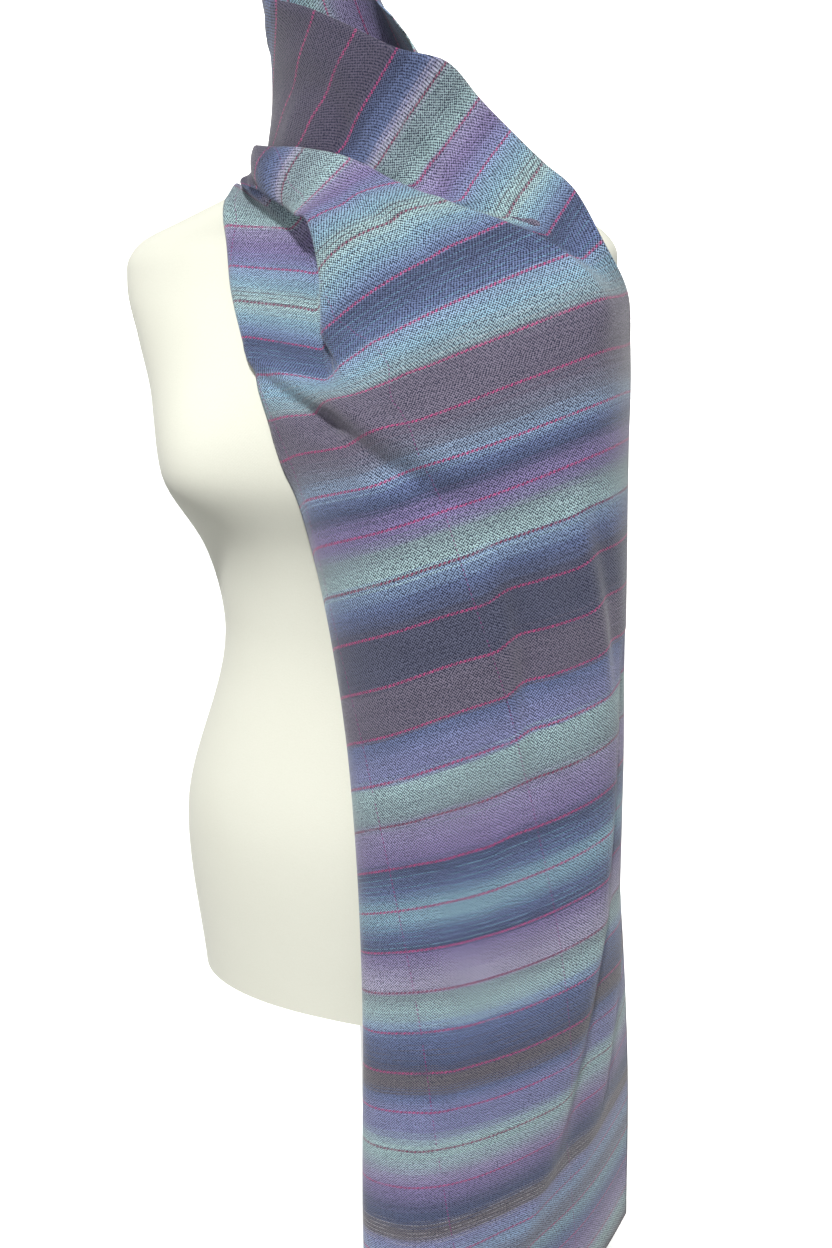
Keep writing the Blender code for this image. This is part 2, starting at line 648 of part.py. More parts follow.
def sheet_normals(sheet):
    """The direction out of the sheet at each of its points."""
    along = np.gradient(sheet, axis=0)
    across = np.gradient(sheet, axis=1)
    return to_unit(np.cross(across, along))


def creased(sheet, stripes):
    """The sheet with its creases, each a soft ridge or trough that fades at both ends."""
    steps = np.linalg.norm(np.diff(sheet, axis=1), axis=2)
    lengths = np.concatenate([np.zeros((len(sheet), 1)), np.cumsum(steps, axis=1)], axis=1)
    across = lengths[:, -1:] - lengths
    rise = np.zeros(across.shape)
    for crease in CREASES:
        part = (stripes - crease.from_stripe) / (crease.to_stripe - crease.from_stripe)
        centre = crease.from_across + (crease.to_across - crease.from_across) * part
        fade = np.sin(pi * np.clip(part, 0, 1)) ** FADE
        away = (across - centre[:, None]) / crease.width
        rise += crease.rise * fade[:, None] * np.exp(-(away**2))
    return sheet + rise[..., None] * sheet_normals(sheet)


def softened(field):
    """A field blurred once over the grid, and nowhere lower than it was."""
    wide = np.pad(field, 1, mode="edge")
    rows = (wide[:-2] + 2 * wide[1:-1] + wide[2:]) / 4
    blurred = (rows[:, :-2] + 2 * rows[:, 1:-1] + rows[:, 2:]) / 4
    return np.maximum(field, blurred)


def hits(tree, start, facing, reach):
    """Each face that a straight line out of a point and into it meets, with its height at the point."""
    found = []
    at = reach
    while at > -reach:
        hit, _, face, distance = tree.ray_cast(start + facing * at, -facing, at + reach)
        if not hit:
            break
        at -= distance
        found.append((face, at))
        at -= SMALL_STEP
    return found


def lies_over(stripe, column, level, face_stripe, face_column, face_level):
    """How far below a point of the cloth another face of it is looked for, if it lies over it."""
    if abs(stripe - face_stripe) < ONE_FOLD:
        apart = abs(column - face_column) > NEXT_TO
        return FOLD_REACH if apart and level - face_level > NEXT_LAYER else None
    return REACH if stripe > TOP_LAYER and face_stripe < UNDERNEATH else None


def settled(sheet, layers, stack, stripes, form):
    """The sheet, lifted clear of the form and of the layers of cloth that it lies over."""
    rows, columns = layers.shape
    faces = grid_faces(rows, columns)
    face_level = stack.ravel()[np.array(faces)].max(axis=1)
    face_stripe = np.repeat(stripes, columns)[np.array(faces)].mean(axis=1)
    face_column = np.tile(np.arange(columns), rows)[np.array(faces)].mean(axis=1)
    for _ in range(PASSES):
        tree = BVHTree.FromPolygons(sheet.reshape(-1, 3).tolist(), faces)
        lift = np.zeros(layers.shape)
        facings = np.zeros(sheet.shape)
        for row in range(rows):
            for column in range(columns):
                for down, over in ((0, 0), (1, 0), (0, 1), (1, 1)):
                    if row + down >= rows or column + over >= columns:
                        continue
                    far = (row + down, column + over)
                    place = Vector((sheet[row, column] + sheet[far]) / 2)
                    height, facing = form_height(place, form)
                    missing = CLEARANCE + (layers[row, column] + layers[far]) / 2 - height
                    level = min(stack[row, column], stack[far])
                    for face, at in hits(tree, place, facing, REACH):
                        other = (face_stripe[face], face_column[face], face_level[face])
                        reach = lies_over(stripes[row], column, level, *other)
                        gap = COVER if reach == REACH else CLEARANCE
                        if reach and -gap < at < reach:
                            missing = max(missing, at + gap)
                    lift[row, column] = max(lift[row, column], missing)
                    lift[far] = max(lift[far], missing)
                    if down == over == 0:
                        facings[row, column] = facing
        for _ in range(BLEND):
            lift = softened(lift)
        sheet = sheet + lift[..., None] * facings
    return sheet


def bend(start, crest, end, part):
    """A point on the arch from start over crest to end."""
    return (
        start * (1 - part) * (1 - 2 * part)
        + crest * 4 * part * (1 - part)
        + end * part * (2 * part - 1)
    )


def cloth_stripes():
    """The stripe of each row of the whole cloth."""
    stripes = [STRETCHES[0].start]
    for stretch in STRETCHES:
        count = round((stretch.end - stretch.start) * stretch.rows_per_stripe)
        stripes += list(np.linspace(stretch.start, stretch.end, count + 1)[1:])
    return np.array(stripes)


def grid_faces(rows, columns):
    """The corners of each face of a grid, two triangles for each step along and across."""
    faces = []
    for row in range(rows - 1):
        for corner in range(row * columns, (row + 1) * columns - 1):
            faces.append((corner, corner + 1, corner + columns + 1))
            faces.append((corner, corner + columns + 1, corner + columns))
    return faces


def drawn_in(row, after):
    """A row at a seam, drawn in towards the next one by half the seam."""
    return row + SEAM / 2 * to_unit(after - row)


def make_stretch(stretch, sheet, normals, stripes):
    """One stretch of the cloth, a sheet with its wall and its rim."""
    mine = (stripes > stretch.start - 1e-6) & (stripes < stretch.end + 1e-6)
    sheet, normals = sheet[mine].copy(), normals[mine]
    sheet[0] = drawn_in(sheet[0], sheet[1])
    sheet[-1] = drawn_in(sheet[-1], sheet[-2])
    rows, columns = sheet.shape[:2]
    shape = bmesh.new()
    sides = []
    for side in (CLOTH / 2, -CLOTH / 2):
        points = (sheet + side * normals).reshape(-1, 3)
        sides.append([shape.verts.new(point) for point in points])
    outer, inner = sides
    for face in grid_faces(rows, columns):
        shape.faces.new([outer[index] for index in face])
        shape.faces.new([inner[index] for index in reversed(face)])
    last = (rows - 1) * columns
    rim = list(range(columns - 1))
    rim += [row * columns + columns - 1 for row in range(rows - 1)]
    rim += [last + column for column in range(columns - 1, 0, -1)]
    rim += [row * columns for row in range(rows - 1, 0, -1)]
    for index, after in zip(rim, rim[1:] + rim[:1]):
        shape.faces.new((outer[after], outer[index], inner[index], inner[after]))
    bmesh.ops.recalc_face_normals(shape, faces=shape.faces)
    mesh = bpy.data.meshes.new(stretch.name)
    shape.to_mesh(mesh)
    shape.free()
    return place(stretch.name, mesh, WOOL)


def main():
    clear_scene()
    form = make_form()
    make_stand()
    shape = bmesh.new()
    shape.from_mesh(form.data)
    tree = BVHTree.FromBMesh(shape)
    shape.free()
    stripes = cloth_stripes()
    sheet = settled(*cloth_sheet(stripes, tree), stripes, tree)
    normals = sheet_normals(sheet)
    for stretch in STRETCHES:
        make_stretch(stretch, sheet, normals, stripes)


if __name__ == "__main__":
    main()
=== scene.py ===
"""The looks of a woven wool scarf wound round the neck of a limbless dress form.

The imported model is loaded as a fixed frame. The scarf here is one long cloth, worked out from the same
guide lines as its solids, on a finer grid and with its smaller creases. A place along the cloth is
given in stripes, counted from the front of the neck: the thin weft lines are one stripe apart.

Metres, +Z up. The form's front faces -Y.
"""
from __future__ import annotations

import logging
from dataclasses import dataclass, fields
from enum import Enum
from math import cos, pi, radians, sin
from typing import Sequence

import bmesh
import bpy
import numpy as np
from mathutils import Matrix, Vector
from mathutils.bvhtree import BVHTree


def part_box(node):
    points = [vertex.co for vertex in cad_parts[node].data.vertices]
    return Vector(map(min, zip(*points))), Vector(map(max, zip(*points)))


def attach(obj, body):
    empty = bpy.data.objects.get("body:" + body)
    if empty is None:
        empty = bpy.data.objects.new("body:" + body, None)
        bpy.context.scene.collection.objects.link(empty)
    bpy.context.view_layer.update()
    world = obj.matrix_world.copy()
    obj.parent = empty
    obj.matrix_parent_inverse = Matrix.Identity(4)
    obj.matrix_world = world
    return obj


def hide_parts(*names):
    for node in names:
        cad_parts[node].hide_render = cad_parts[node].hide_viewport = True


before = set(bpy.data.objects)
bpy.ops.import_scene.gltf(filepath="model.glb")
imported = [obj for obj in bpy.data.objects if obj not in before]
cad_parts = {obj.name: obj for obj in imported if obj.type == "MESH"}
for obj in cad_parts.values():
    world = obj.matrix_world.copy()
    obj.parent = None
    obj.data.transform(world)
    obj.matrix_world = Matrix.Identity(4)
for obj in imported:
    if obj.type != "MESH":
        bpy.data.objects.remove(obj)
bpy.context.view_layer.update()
log = logging.getLogger("scarf")

STRIPE = 0.034              # from one weft line of the cloth to the next
BODY = "root"
CLOTH_MAP = "cloth"         # the cloth's map: across and along it, in metres
TINY = 1e-6                 # keeps the length of a step off nothing
SHORTEST = 1e-9             # a vector under this length has no direction


# ---------------------------------------------------------------- tables of the cloth's shape

@dataclass(frozen=True)
class Guide:
    """A place on a line along the cloth."""

    stripe: float
    x: float
    y: float
    z: float


@dataclass(frozen=True)
class Fold:
    """How deep the two folds are, how high their layers stand, and how far the left edge turns back."""

    stripe: float
    collar_tuck: float
    collar_rise: float
    flap_tuck: float
    flap_rise: float
    turn_back: float


@dataclass(frozen=True)
class Line:
    """A straight line on the cloth between two places, each a stripe and a distance from the left edge."""

    from_stripe: float
    from_across: float
    to_stripe: float
    to_across: float
    width: float


@dataclass(frozen=True)
class Crease(Line):
    """A line along which the cloth is raised; a negative rise makes a trough."""

    rise: float


@dataclass(frozen=True)
class Jog(Line):
    """A line at which the weft steps along the cloth."""

    step: float


@dataclass(frozen=True)
class Ring:
    """The outline of the dress form at a height."""

    z: float
    half_width: float
    front: float
    back: float


FORM_RINGS = [
    Ring(0.760, 0.156, 0.100, 0.103),
    Ring(0.905, 0.164, 0.108, 0.108),
    Ring(1.078, 0.120, 0.086, 0.078),
    Ring(1.142, 0.133, 0.091, 0.088),
    Ring(1.205, 0.150, 0.102, 0.102),
    Ring(1.300, 0.192, 0.084, 0.092),
    Ring(1.345, 0.206, 0.060, 0.068),
    Ring(1.365, 0.203, 0.051, 0.058),
    Ring(1.377, 0.190, 0.046, 0.053),
    Ring(1.393, 0.147, 0.045, 0.052),
    Ring(1.408, 0.105, 0.045, 0.053),
    Ring(1.420, 0.073, 0.046, 0.053),
    Ring(1.434, 0.056, 0.046, 0.051),
    Ring(1.448, 0.050, 0.046, 0.047),
    Ring(1.462, 0.047, 0.044, 0.045),
]

# The selvedge at the neck. From the shoulder on it is the right selvedge, turned to the back.
NECK_EDGE = [
    Guide(-22, 0.034, -0.128, 1.122),
    Guide(-18, 0.034, -0.112, 1.257),
    Guide(-16, 0.040, -0.078, 1.328),
    Guide(-15, 0.048, -0.060, 1.364),
    Guide(-14, 0.058, -0.048, 1.400),
    Guide(-13, 0.074, -0.036, 1.436),
    Guide(-12, 0.070, -0.030, 1.470),
    Guide(-11, 0.062, -0.020, 1.502),
    Guide(-10, 0.042, -0.010, 1.526),
    Guide(-9, 0.021, 0.006, 1.543),
    Guide(-8, 0.004, 0.036, 1.558),
    Guide(-6, -0.048, 0.050, 1.562),
    Guide(-4, -0.067, -0.010, 1.553),
    Guide(-2, -0.004, -0.045, 1.532),
    Guide(-1, 0.031, -0.050, 1.516),
    Guide(0, 0.062, -0.050, 1.501),
    Guide(1, 0.093, -0.035, 1.491),
    Guide(2, 0.111, -0.020, 1.467),
    Guide(3, 0.132, -0.012, 1.444),
    Guide(4, 0.156, -0.010, 1.421),
    Guide(5, 0.180, -0.012, 1.401),
    Guide(6, 0.205, -0.026, 1.366),
    Guide(7, 0.214, 0.004, 1.330),
    Guide(8, 0.212, 0.020, 1.293),
    Guide(12, 0.208, 0.026, 1.156),
    Guide(20, 0.204, 0.038, 0.880),
    Guide(23, 0.208, 0.046, 0.780),
    Guide(26, 0.210, 0.055, 0.682),
    Guide(31, 0.206, 0.074, 0.520),
]

# Where the collar goes in under the roll. From the shoulder on it is the outermost line on the right.
COLLAR_FOOT = [
    Guide(-22, 0.044, -0.134, 1.120),
    Guide(-18, 0.044, -0.120, 1.254),
    Guide(-16, 0.050, -0.083, 1.325),
    Guide(-15, 0.058, -0.065, 1.360),
    Guide(-14, 0.066, -0.052, 1.395),
    Guide(-13, 0.082, -0.036, 1.410),
    Guide(-12, 0.086, -0.012, 1.426),
    Guide(-11, 0.090, 0.020, 1.444),
    Guide(-9, 0.068, 0.052, 1.452),
    Guide(-7, 0.012, 0.074, 1.455),
    Guide(-5, -0.048, 0.060, 1.450),
    Guide(-3, -0.077, 0.012, 1.445),
    Guide(-2, -0.060, -0.018, 1.439),
    Guide(-1, -0.021, -0.049, 1.439),
    Guide(0, 0.015, -0.056, 1.433),
    Guide(1, 0.046, -0.060, 1.421),
    Guide(2, 0.076, -0.058, 1.409),
    Guide(3, 0.108, -0.052, 1.397),
    Guide(4, 0.138, -0.044, 1.384),
    Guide(5, 0.167, -0.038, 1.370),
    Guide(6, 0.193, -0.034, 1.354),
    Guide(7, 0.216, -0.026, 1.328),
    Guide(8, 0.222, -0.026, 1.294),
    Guide(10, 0.228, -0.030, 1.231),
    Guide(14, 0.232, -0.032, 1.092),
    Guide(20, 0.230, -0.032, 0.882),
    Guide(23, 0.224, -0.028, 0.779),
    Guide(26, 0.212, -0.024, 0.676),
    Guide(31, 0.200, -0.010, 0.508),
]

# The upper edge of the roll. From the shoulder on it is the right front of the fall.
ROLL_TOP = [
    Guide(-22, 0.044, -0.134, 1.120),
    Guide(-18, 0.044, -0.120, 1.254),
    Guide(-16, 0.050, -0.083, 1.325),
    Guide(-15, 0.058, -0.065, 1.360),
    Guide(-14, 0.066, -0.052, 1.395),
    Guide(-13, 0.084, -0.040, 1.412),
    Guide(-12, 0.090, -0.010, 1.430),
    Guide(-11, 0.096, 0.024, 1.442),
    Guide(-9, 0.072, 0.066, 1.448),
    Guide(-7, 0.022, 0.088, 1.446),
    Guide(-5, -0.034, 0.080, 1.444),
    Guide(-3, -0.080, 0.046, 1.444),
    Guide(-2, -0.085, 0.010, 1.447),
    Guide(-1, -0.067, -0.028, 1.444),
    Guide(0, -0.042, -0.052, 1.440),
    Guide(1, -0.008, -0.065, 1.436),
    Guide(2, 0.030, -0.066, 1.427),
    Guide(3, 0.066, -0.063, 1.411),
    Guide(4, 0.101, -0.056, 1.396),
    Guide(5, 0.142, -0.047, 1.379),
    Guide(6, 0.186, -0.044, 1.357),
    Guide(7, 0.214, -0.056, 1.328),
    Guide(8, 0.216, -0.068, 1.293),
    Guide(10, 0.220, -0.074, 1.225),
    Guide(14, 0.222, -0.078, 1.082),
    Guide(20, 0.218, -0.082, 0.866),
    Guide(23, 0.200, -0.096, 0.757),
    Guide(26, 0.176, -0.098, 0.652),
    Guide(31, 0.156, -0.082, 0.488),
]

# The middle of the roll, and of the fall below it.
ROLL_MIDDLE = [
    Guide(-22, 0.096, -0.134, 1.108),
    Guide(-18, 0.096, -0.127, 1.240),
    Guide(-16, 0.102, -0.085, 1.312),
    Guide(-15, 0.108, -0.065, 1.347),
    Guide(-14, 0.114, -0.051, 1.381),
    Guide(-13, 0.121, -0.030, 1.403),
    Guide(-12, 0.124, 0.000, 1.412),
    Guide(-11, 0.120, 0.032, 1.424),
    Guide(-9, 0.084, 0.080, 1.424),
    Guide(-7, 0.026, 0.101, 1.418),
    Guide(-5, -0.038, 0.096, 1.420),
    Guide(-3, -0.087, 0.056, 1.428),
    Guide(-2, -0.090, 0.015, 1.438),
    Guide(-1, -0.072, -0.027, 1.437),
    Guide(0, -0.050, -0.059, 1.427),
    Guide(1, -0.020, -0.070, 1.416),
    Guide(2, 0.012, -0.078, 1.408),
    Guide(3, 0.034, -0.082, 1.399),
    Guide(4, 0.052, -0.086, 1.378),
    Guide(5, 0.078, -0.092, 1.347),
    Guide(6, 0.106, -0.098, 1.322),
    Guide(7, 0.136, -0.108, 1.297),
    Guide(8, 0.152, -0.120, 1.268),
    Guide(10, 0.160, -0.130, 1.202),
    Guide(14, 0.164, -0.132, 1.060),
    Guide(20, 0.158, -0.134, 0.842),
    Guide(23, 0.144, -0.140, 0.737),
    Guide(26, 0.126, -0.144, 0.634),
    Guide(31, 0.108, -0.143, 0.472),
]

# The lower edge of the roll, which overhangs the flap down to the bust and then fades into the fall.
ROLL_FOOT = [
    Guide(-22, 0.150, -0.098, 1.090),
    Guide(-18, 0.150, -0.079, 1.220),
    Guide(-16, 0.156, -0.070, 1.294),
    Guide(-15, 0.160, -0.056, 1.328),
    Guide(-14, 0.164, -0.048, 1.366),
    Guide(-13, 0.158, -0.018, 1.395),
    Guide(-12, 0.154, 0.014, 1.398),
    Guide(-11, 0.138, 0.042, 1.404),
    Guide(-9, 0.092, 0.096, 1.396),
    Guide(-7, 0.028, 0.110, 1.390),
    Guide(-5, -0.042, 0.101, 1.394),
    Guide(-3, -0.089, 0.062, 1.410),
    Guide(-2, -0.092, 0.020, 1.427),
    Guide(-1, -0.074, -0.023, 1.427),
    Guide(0, -0.050, -0.058, 1.411),
    Guide(1, -0.022, -0.072, 1.399),
    Guide(2, -0.007, -0.082, 1.392),
    Guide(3, 0.008, -0.090, 1.386),
    Guide(4, 0.018, -0.096, 1.352),
    Guide(5, 0.026, -0.108, 1.309),
    Guide(6, 0.043, -0.120, 1.286),
    Guide(7, 0.058, -0.133, 1.265),
    Guide(8, 0.080, -0.146, 1.241),
    Guide(10, 0.092, -0.152, 1.178),
    Guide(14, 0.096, -0.151, 1.032),
    Guide(20, 0.096, -0.150, 0.828),
    Guide(26, 0.086, -0.152, 0.628),
    Guide(31, 0.082, -0.151, 0.466),
]

# Where the flap comes out from under the roll.
FLAP_TOP = [
    Guide(-22, 0.150, -0.098, 1.090),
    Guide(-18, 0.150, -0.079, 1.220),
    Guide(-16, 0.156, -0.070, 1.294),
    Guide(-15, 0.160, -0.056, 1.328),
    Guide(-14, 0.164, -0.048, 1.366),
    Guide(-13, 0.158, -0.014, 1.393),
    Guide(-12, 0.154, 0.016, 1.396),
    Guide(-11, 0.138, 0.042, 1.394),
    Guide(-9, 0.096, 0.090, 1.380),
    Guide(-7, 0.036, 0.105, 1.374),
    Guide(-5, -0.026, 0.098, 1.378),
    Guide(-3, -0.080, 0.064, 1.396),
    Guide(-2, -0.091, 0.032, 1.411),
    Guide(-1, -0.087, -0.006, 1.422),
    Guide(0, -0.072, -0.044, 1.416),
    Guide(1, -0.045, -0.054, 1.399),
    Guide(2, -0.024, -0.056, 1.382),
    Guide(3, 0.004, -0.070, 1.350),
    Guide(4, 0.012, -0.088, 1.324),
    Guide(5, 0.021, -0.101, 1.297),
    Guide(6, 0.030, -0.113, 1.276),
    Guide(7, 0.030, -0.124, 1.256),
    Guide(8, 0.040, -0.134, 1.231),
    Guide(10, 0.050, -0.145, 1.165),
    Guide(14, 0.064, -0.147, 1.020),
    Guide(20, 0.068, -0.147, 0.820),
    Guide(26, 0.062, -0.148, 0.624),
    Guide(31, 0.060, -0.147, 0.462),
]

# The left edge, where the cloth turns back a little.
LEFT_EDGE = [
    Guide(-22, 0.155, -0.090, 1.088),
    Guide(-18, 0.155, -0.069, 1.218),
    Guide(-16, 0.161, -0.059, 1.292),
    Guide(-15, 0.166, -0.048, 1.326),
    Guide(-14, 0.171, -0.041, 1.365),
    Guide(-13, 0.167, -0.008, 1.395),
    Guide(-12, 0.166, 0.026, 1.388),
    Guide(-11, 0.158, 0.056, 1.370),
    Guide(-9, 0.110, 0.104, 1.325),
    Guide(-7, 0.044, 0.117, 1.312),
    Guide(-5, -0.024, 0.115, 1.312),
    Guide(-3, -0.076, 0.098, 1.336),
    Guide(-1, -0.110, 0.056, 1.382),
    Guide(0, -0.109, 0.022, 1.413),
    Guide(1, -0.098, -0.014, 1.416),
    Guide(2, -0.090, -0.042, 1.385),
    Guide(3, -0.079, -0.062, 1.356),
    Guide(4, -0.066, -0.080, 1.331),
    Guide(5, -0.052, -0.094, 1.306),
    Guide(6, -0.037, -0.107, 1.280),
    Guide(7, -0.023, -0.117, 1.250),
    Guide(8, -0.013, -0.121, 1.219),
    Guide(9, -0.001, -0.123, 1.187),
    Guide(10, 0.008, -0.124, 1.152),
    Guide(12, 0.023, -0.127, 1.078),
    Guide(14, 0.034, -0.131, 1.008),
    Guide(16, 0.040, -0.134, 0.939),
    Guide(20, 0.043, -0.135, 0.816),
    Guide(26, 0.038, -0.135, 0.624),
    Guide(31, 0.036, -0.134, 0.462),
]

FOLDS = [
    Fold(-22, 0.030, 0.0024, 0.030, 0.0024, 0.000),
    Fold(-14, 0.028, 0.0024, 0.026, 0.0024, 0.000),
    Fold(-12, 0.024, 0.0026, 0.024, 0.0026, 0.000),
    Fold(-9, 0.028, 0.0036, 0.026, 0.0032, 0.000),
    Fold(-4, 0.018, 0.0036, 0.016, 0.0034, 0.000),
    Fold(-3, 0.013, 0.0036, 0.003, 0.0022, 0.000),
    Fold(-2.5, 0.011, 0.0034, 0.000, 0.0010, 0.000),
    Fold(-2, 0.010, 0.0032, 0.000, 0.0000, 0.000),
    Fold(-1, 0.008, 0.0028, 0.000, 0.0000, 0.000),
    Fold(-0.5, 0.009, 0.0026, 0.000, 0.0000, 0.000),
    Fold(0, 0.012, 0.0028, 0.000, 0.0008, 0.001),
    Fold(0.5, 0.015, 0.0032, 0.006, 0.0026, 0.001),
    Fold(1, 0.018, 0.0036, 0.015, 0.0038, 0.002),
    Fold(2, 0.024, 0.0040, 0.019, 0.0044, 0.004),
    Fold(3, 0.020, 0.0040, 0.018, 0.0044, 0.005),
    Fold(4, 0.012, 0.0038, 0.012, 0.0042, 0.006),
    Fold(5, 0.005, 0.0030, 0.006, 0.0034, 0.007),
    Fold(6, 0.001, 0.0016, 0.002, 0.0020, 0.008),
    Fold(7, 0.000, 0.0000, 0.000, 0.0000, 0.009),
    Fold(8, 0.000, 0.0000, 0.000, 0.0000, 0.010),
    Fold(31, 0.000, 0.0000, 0.000, 0.0000, 0.012),
]

CREASES = [
    Crease(5.7, 0.000, 10.4, 0.156, 0.012, -0.011),
    Crease(5.2, 0.010, 9.8, 0.172, 0.014, 0.007),
    Crease(14.0, 0.285, 20.0, 0.240, 0.013, -0.006),
    Crease(17.5, 0.262, 26.5, 0.208, 0.015, -0.006),
    Crease(15.5, 0.272, 29.0, 0.150, 0.022, 0.003),
    Crease(20.5, 0.290, 27.5, 0.232, 0.013, 0.004),
    Crease(13.2, 0.172, 17.2, 0.128, 0.014, -0.003),
]

# Smaller creases, which only show in the cloth's surface.
SMALL_CREASES = [
    Crease(10.9, 0.160, 16.0, 0.159, 0.009, 0.0042),
    Crease(11.3, 0.177, 16.4, 0.171, 0.011, -0.0040),
    Crease(14.6, 0.166, 18.6, 0.124, 0.010, 0.0022),
    Crease(10.4, 0.228, 15.2, 0.238, 0.009, 0.0036),
    Crease(10.9, 0.244, 15.4, 0.253, 0.011, -0.0032),
    Crease(4.2, 0.080, 7.6, 0.150, 0.007, 0.0020),
    Crease(15.0, 0.060, 19.0, 0.130, 0.012, 0.0016),
    Crease(20.0, 0.120, 25.0, 0.060, 0.012, 0.0016),
    Crease(24.0, 0.200, 29.0, 0.150, 0.012, 0.0020),
    Crease(26.0, 0.040, 30.5, 0.090, 0.012, -0.0016),
    Crease(-9.5, 0.060, -5.0, 0.100, 0.010, 0.0020),
    Crease(-7.0, 0.180, -3.0, 0.200, 0.010, -0.0018),
    Crease(-6.0, 0.260, -2.0, 0.300, 0.010, 0.0018),
    Crease(-1.5, 0.300, 3.5, 0.320, 0.009, 0.0018),
    Crease(1.0, 0.180, 4.5, 0.240, 0.010, -0.0016),
    Crease(-3.0, 0.214, 0.8, 0.222, 0.012, -0.0026),
    Crease(-2.6, 0.240, 0.6, 0.246, 0.013, 0.0016),
    Crease(-1.0, 0.200, 2.0, 0.240, 0.012, -0.0018),
    Crease(0.5, 0.276, 3.0, 0.288, 0.009, 0.0030),
    Crease(0.8, 0.258, 3.6, 0.272, 0.008, -0.0030),
    Crease(3.0, 0.262, 5.4, 0.290, 0.008, -0.0024),
    Crease(2.2, 0.160, 5.4, 0.196, 0.009, -0.0022),
]

# Where a crease has pushed the weft along the cloth: up beyond it and down before it.
JOGS = [
    Jog(10.8, 0.158, 15.2, 0.160, 0.007, 0.0030),
    Jog(14.6, 0.164, 18.0, 0.128, 0.007, 0.0018),
    Jog(10.6, 0.228, 15.0, 0.238, 0.007, 0.0024),
    Jog(5.9, 0.010, 9.6, 0.122, 0.010, 0.0030),
    Jog(17.5, 0.262, 25.5, 0.206, 0.012, 0.0030),
    Jog(2.0, 0.164, 5.2, 0.196, 0.007, 0.0026),
]


def values_of(rows: Sequence, key: str, names: Sequence[str], wanted: np.ndarray) -> np.ndarray:
    """Read a table along a smooth line through its rows.

    Args:
        rows: The table's rows, in the order of their key.
        key: The field that tells where a row is.
        names: The fields to read.
        wanted: The places to read them at.

    Returns:
        A row for each place and a column for each field.
    """
    at = np.array([getattr(row, key) for row in rows], dtype=float)
    values = np.array([[getattr(row, name) for name in names] for row in rows], dtype=float)
    step = np.diff(at)[:, None]
    rise = np.diff(values, axis=0) / step
    slopes = np.empty_like(values)
    slopes[0], slopes[-1] = rise[0], rise[-1]
    slopes[1:-1] = (rise[:-1] * step[1:] + rise[1:] * step[:-1]) / (step[:-1] + step[1:])
    span = np.clip(np.searchsorted(at, wanted, side="right") - 1, 0, len(at) - 2)
    width = (at[span + 1] - at[span])[:, None]
    t = (np.asarray(wanted) - at[span])[:, None] / width
    return cubic(values[span], values[span + 1], slopes[span] * width, slopes[span + 1] * width, t)


def cubic(
    start: np.ndarray, end: np.ndarray, leave: np.ndarray, arrive: np.ndarray, t: np.ndarray | float
) -> np.ndarray:
    """A place on the smooth line from start to end.

    Args:
        start: Where the line starts.
        end: Where it ends.
        leave: Its slope at the start, times its length.
        arrive: Its slope at the end, times its length.
        t: The part of the way, from 0 to 1.

    Returns:
        The place.
    """
    return (
        start * (2 * t**3 - 3 * t**2 + 1)
        + end * (3 * t**2 - 2 * t**3)
        + leave * (t**3 - 2 * t**2 + t)
        + arrive * (t**3 - t**2)
    )


def to_unit(vectors: np.ndarray) -> np.ndarray:
    """The vectors, each scaled to a length of one."""
    return vectors / np.maximum(np.linalg.norm(vectors, axis=-1, keepdims=True), SHORTEST)


def halfway(start: tuple, end: tuple) -> tuple:
    """The point, and its layer's height, between two others."""
    return tuple((a + b) / 2 for a, b in zip(start, end))


def bend(start: np.ndarray, crest: np.ndarray, end: np.ndarray, part: float) -> np.ndarray:
    """A point on the arch from start over crest to end; part is how much of it lies behind."""
    return (
        start * (1 - part) * (1 - 2 * part)
        + crest * 4 * part * (1 - part)
        + end * part * (2 * part - 1)
    )


def as_object(name: str, shape: bmesh.types.BMesh, material: bpy.types.Material) -> bpy.types.Object:
    """Make a finished bmesh an object of the scene.

    Args:
        name: The object's name.
        shape: The bmesh, which is freed.
        material: Its material.

    Returns:
        The object, with flat faces.
    """
    mesh = bpy.data.meshes.new(name)
    shape.to_mesh(mesh)
    shape.free()
    mesh.materials.append(material)
    piece = bpy.data.objects.new(name, mesh)
    bpy.context.scene.collection.objects.link(piece)
    return piece


# ---------------------------------------------------------------- materials

class Wire:
    """The value of a node's output. Arithmetic on it adds Math nodes."""

    def __init__(self, graph: Graph, socket: bpy.types.NodeSocket) -> None:
        """Wrap an output of a node in a graph."""
        self.graph = graph
        self.socket = socket

    def __add__(self, other: Wire | float) -> Wire:
        """The sum."""
        return self.graph.math("ADD", self, other)

    def __sub__(self, other: Wire | float) -> Wire:
        """The difference."""
        return self.graph.math("SUBTRACT", self, other)

    def __mul__(self, other: Wire | float) -> Wire:
        """The product."""
        return self.graph.math("MULTIPLY", self, other)

    def __truediv__(self, other: Wire | float) -> Wire:
        """The quotient."""
        return self.graph.math("DIVIDE", self, other)

    def __rsub__(self, other: float) -> Wire:
        """The difference from a plain number."""
        return self.graph.math("SUBTRACT", other, self)

    __radd__ = __add__
    __rmul__ = __mul__

    def __lt__(self, other: Wire | float) -> Wire:
        """One where the value is less, nothing elsewhere."""
        return self.graph.math("LESS_THAN", self, other)

    def __gt__(self, other: Wire | float) -> Wire:
        """One where the value is greater, nothing elsewhere."""
        return self.graph.math("GREATER_THAN", self, other)

    def __abs__(self) -> Wire:
        """The size of the value."""
        return self.graph.math("ABSOLUTE", self)


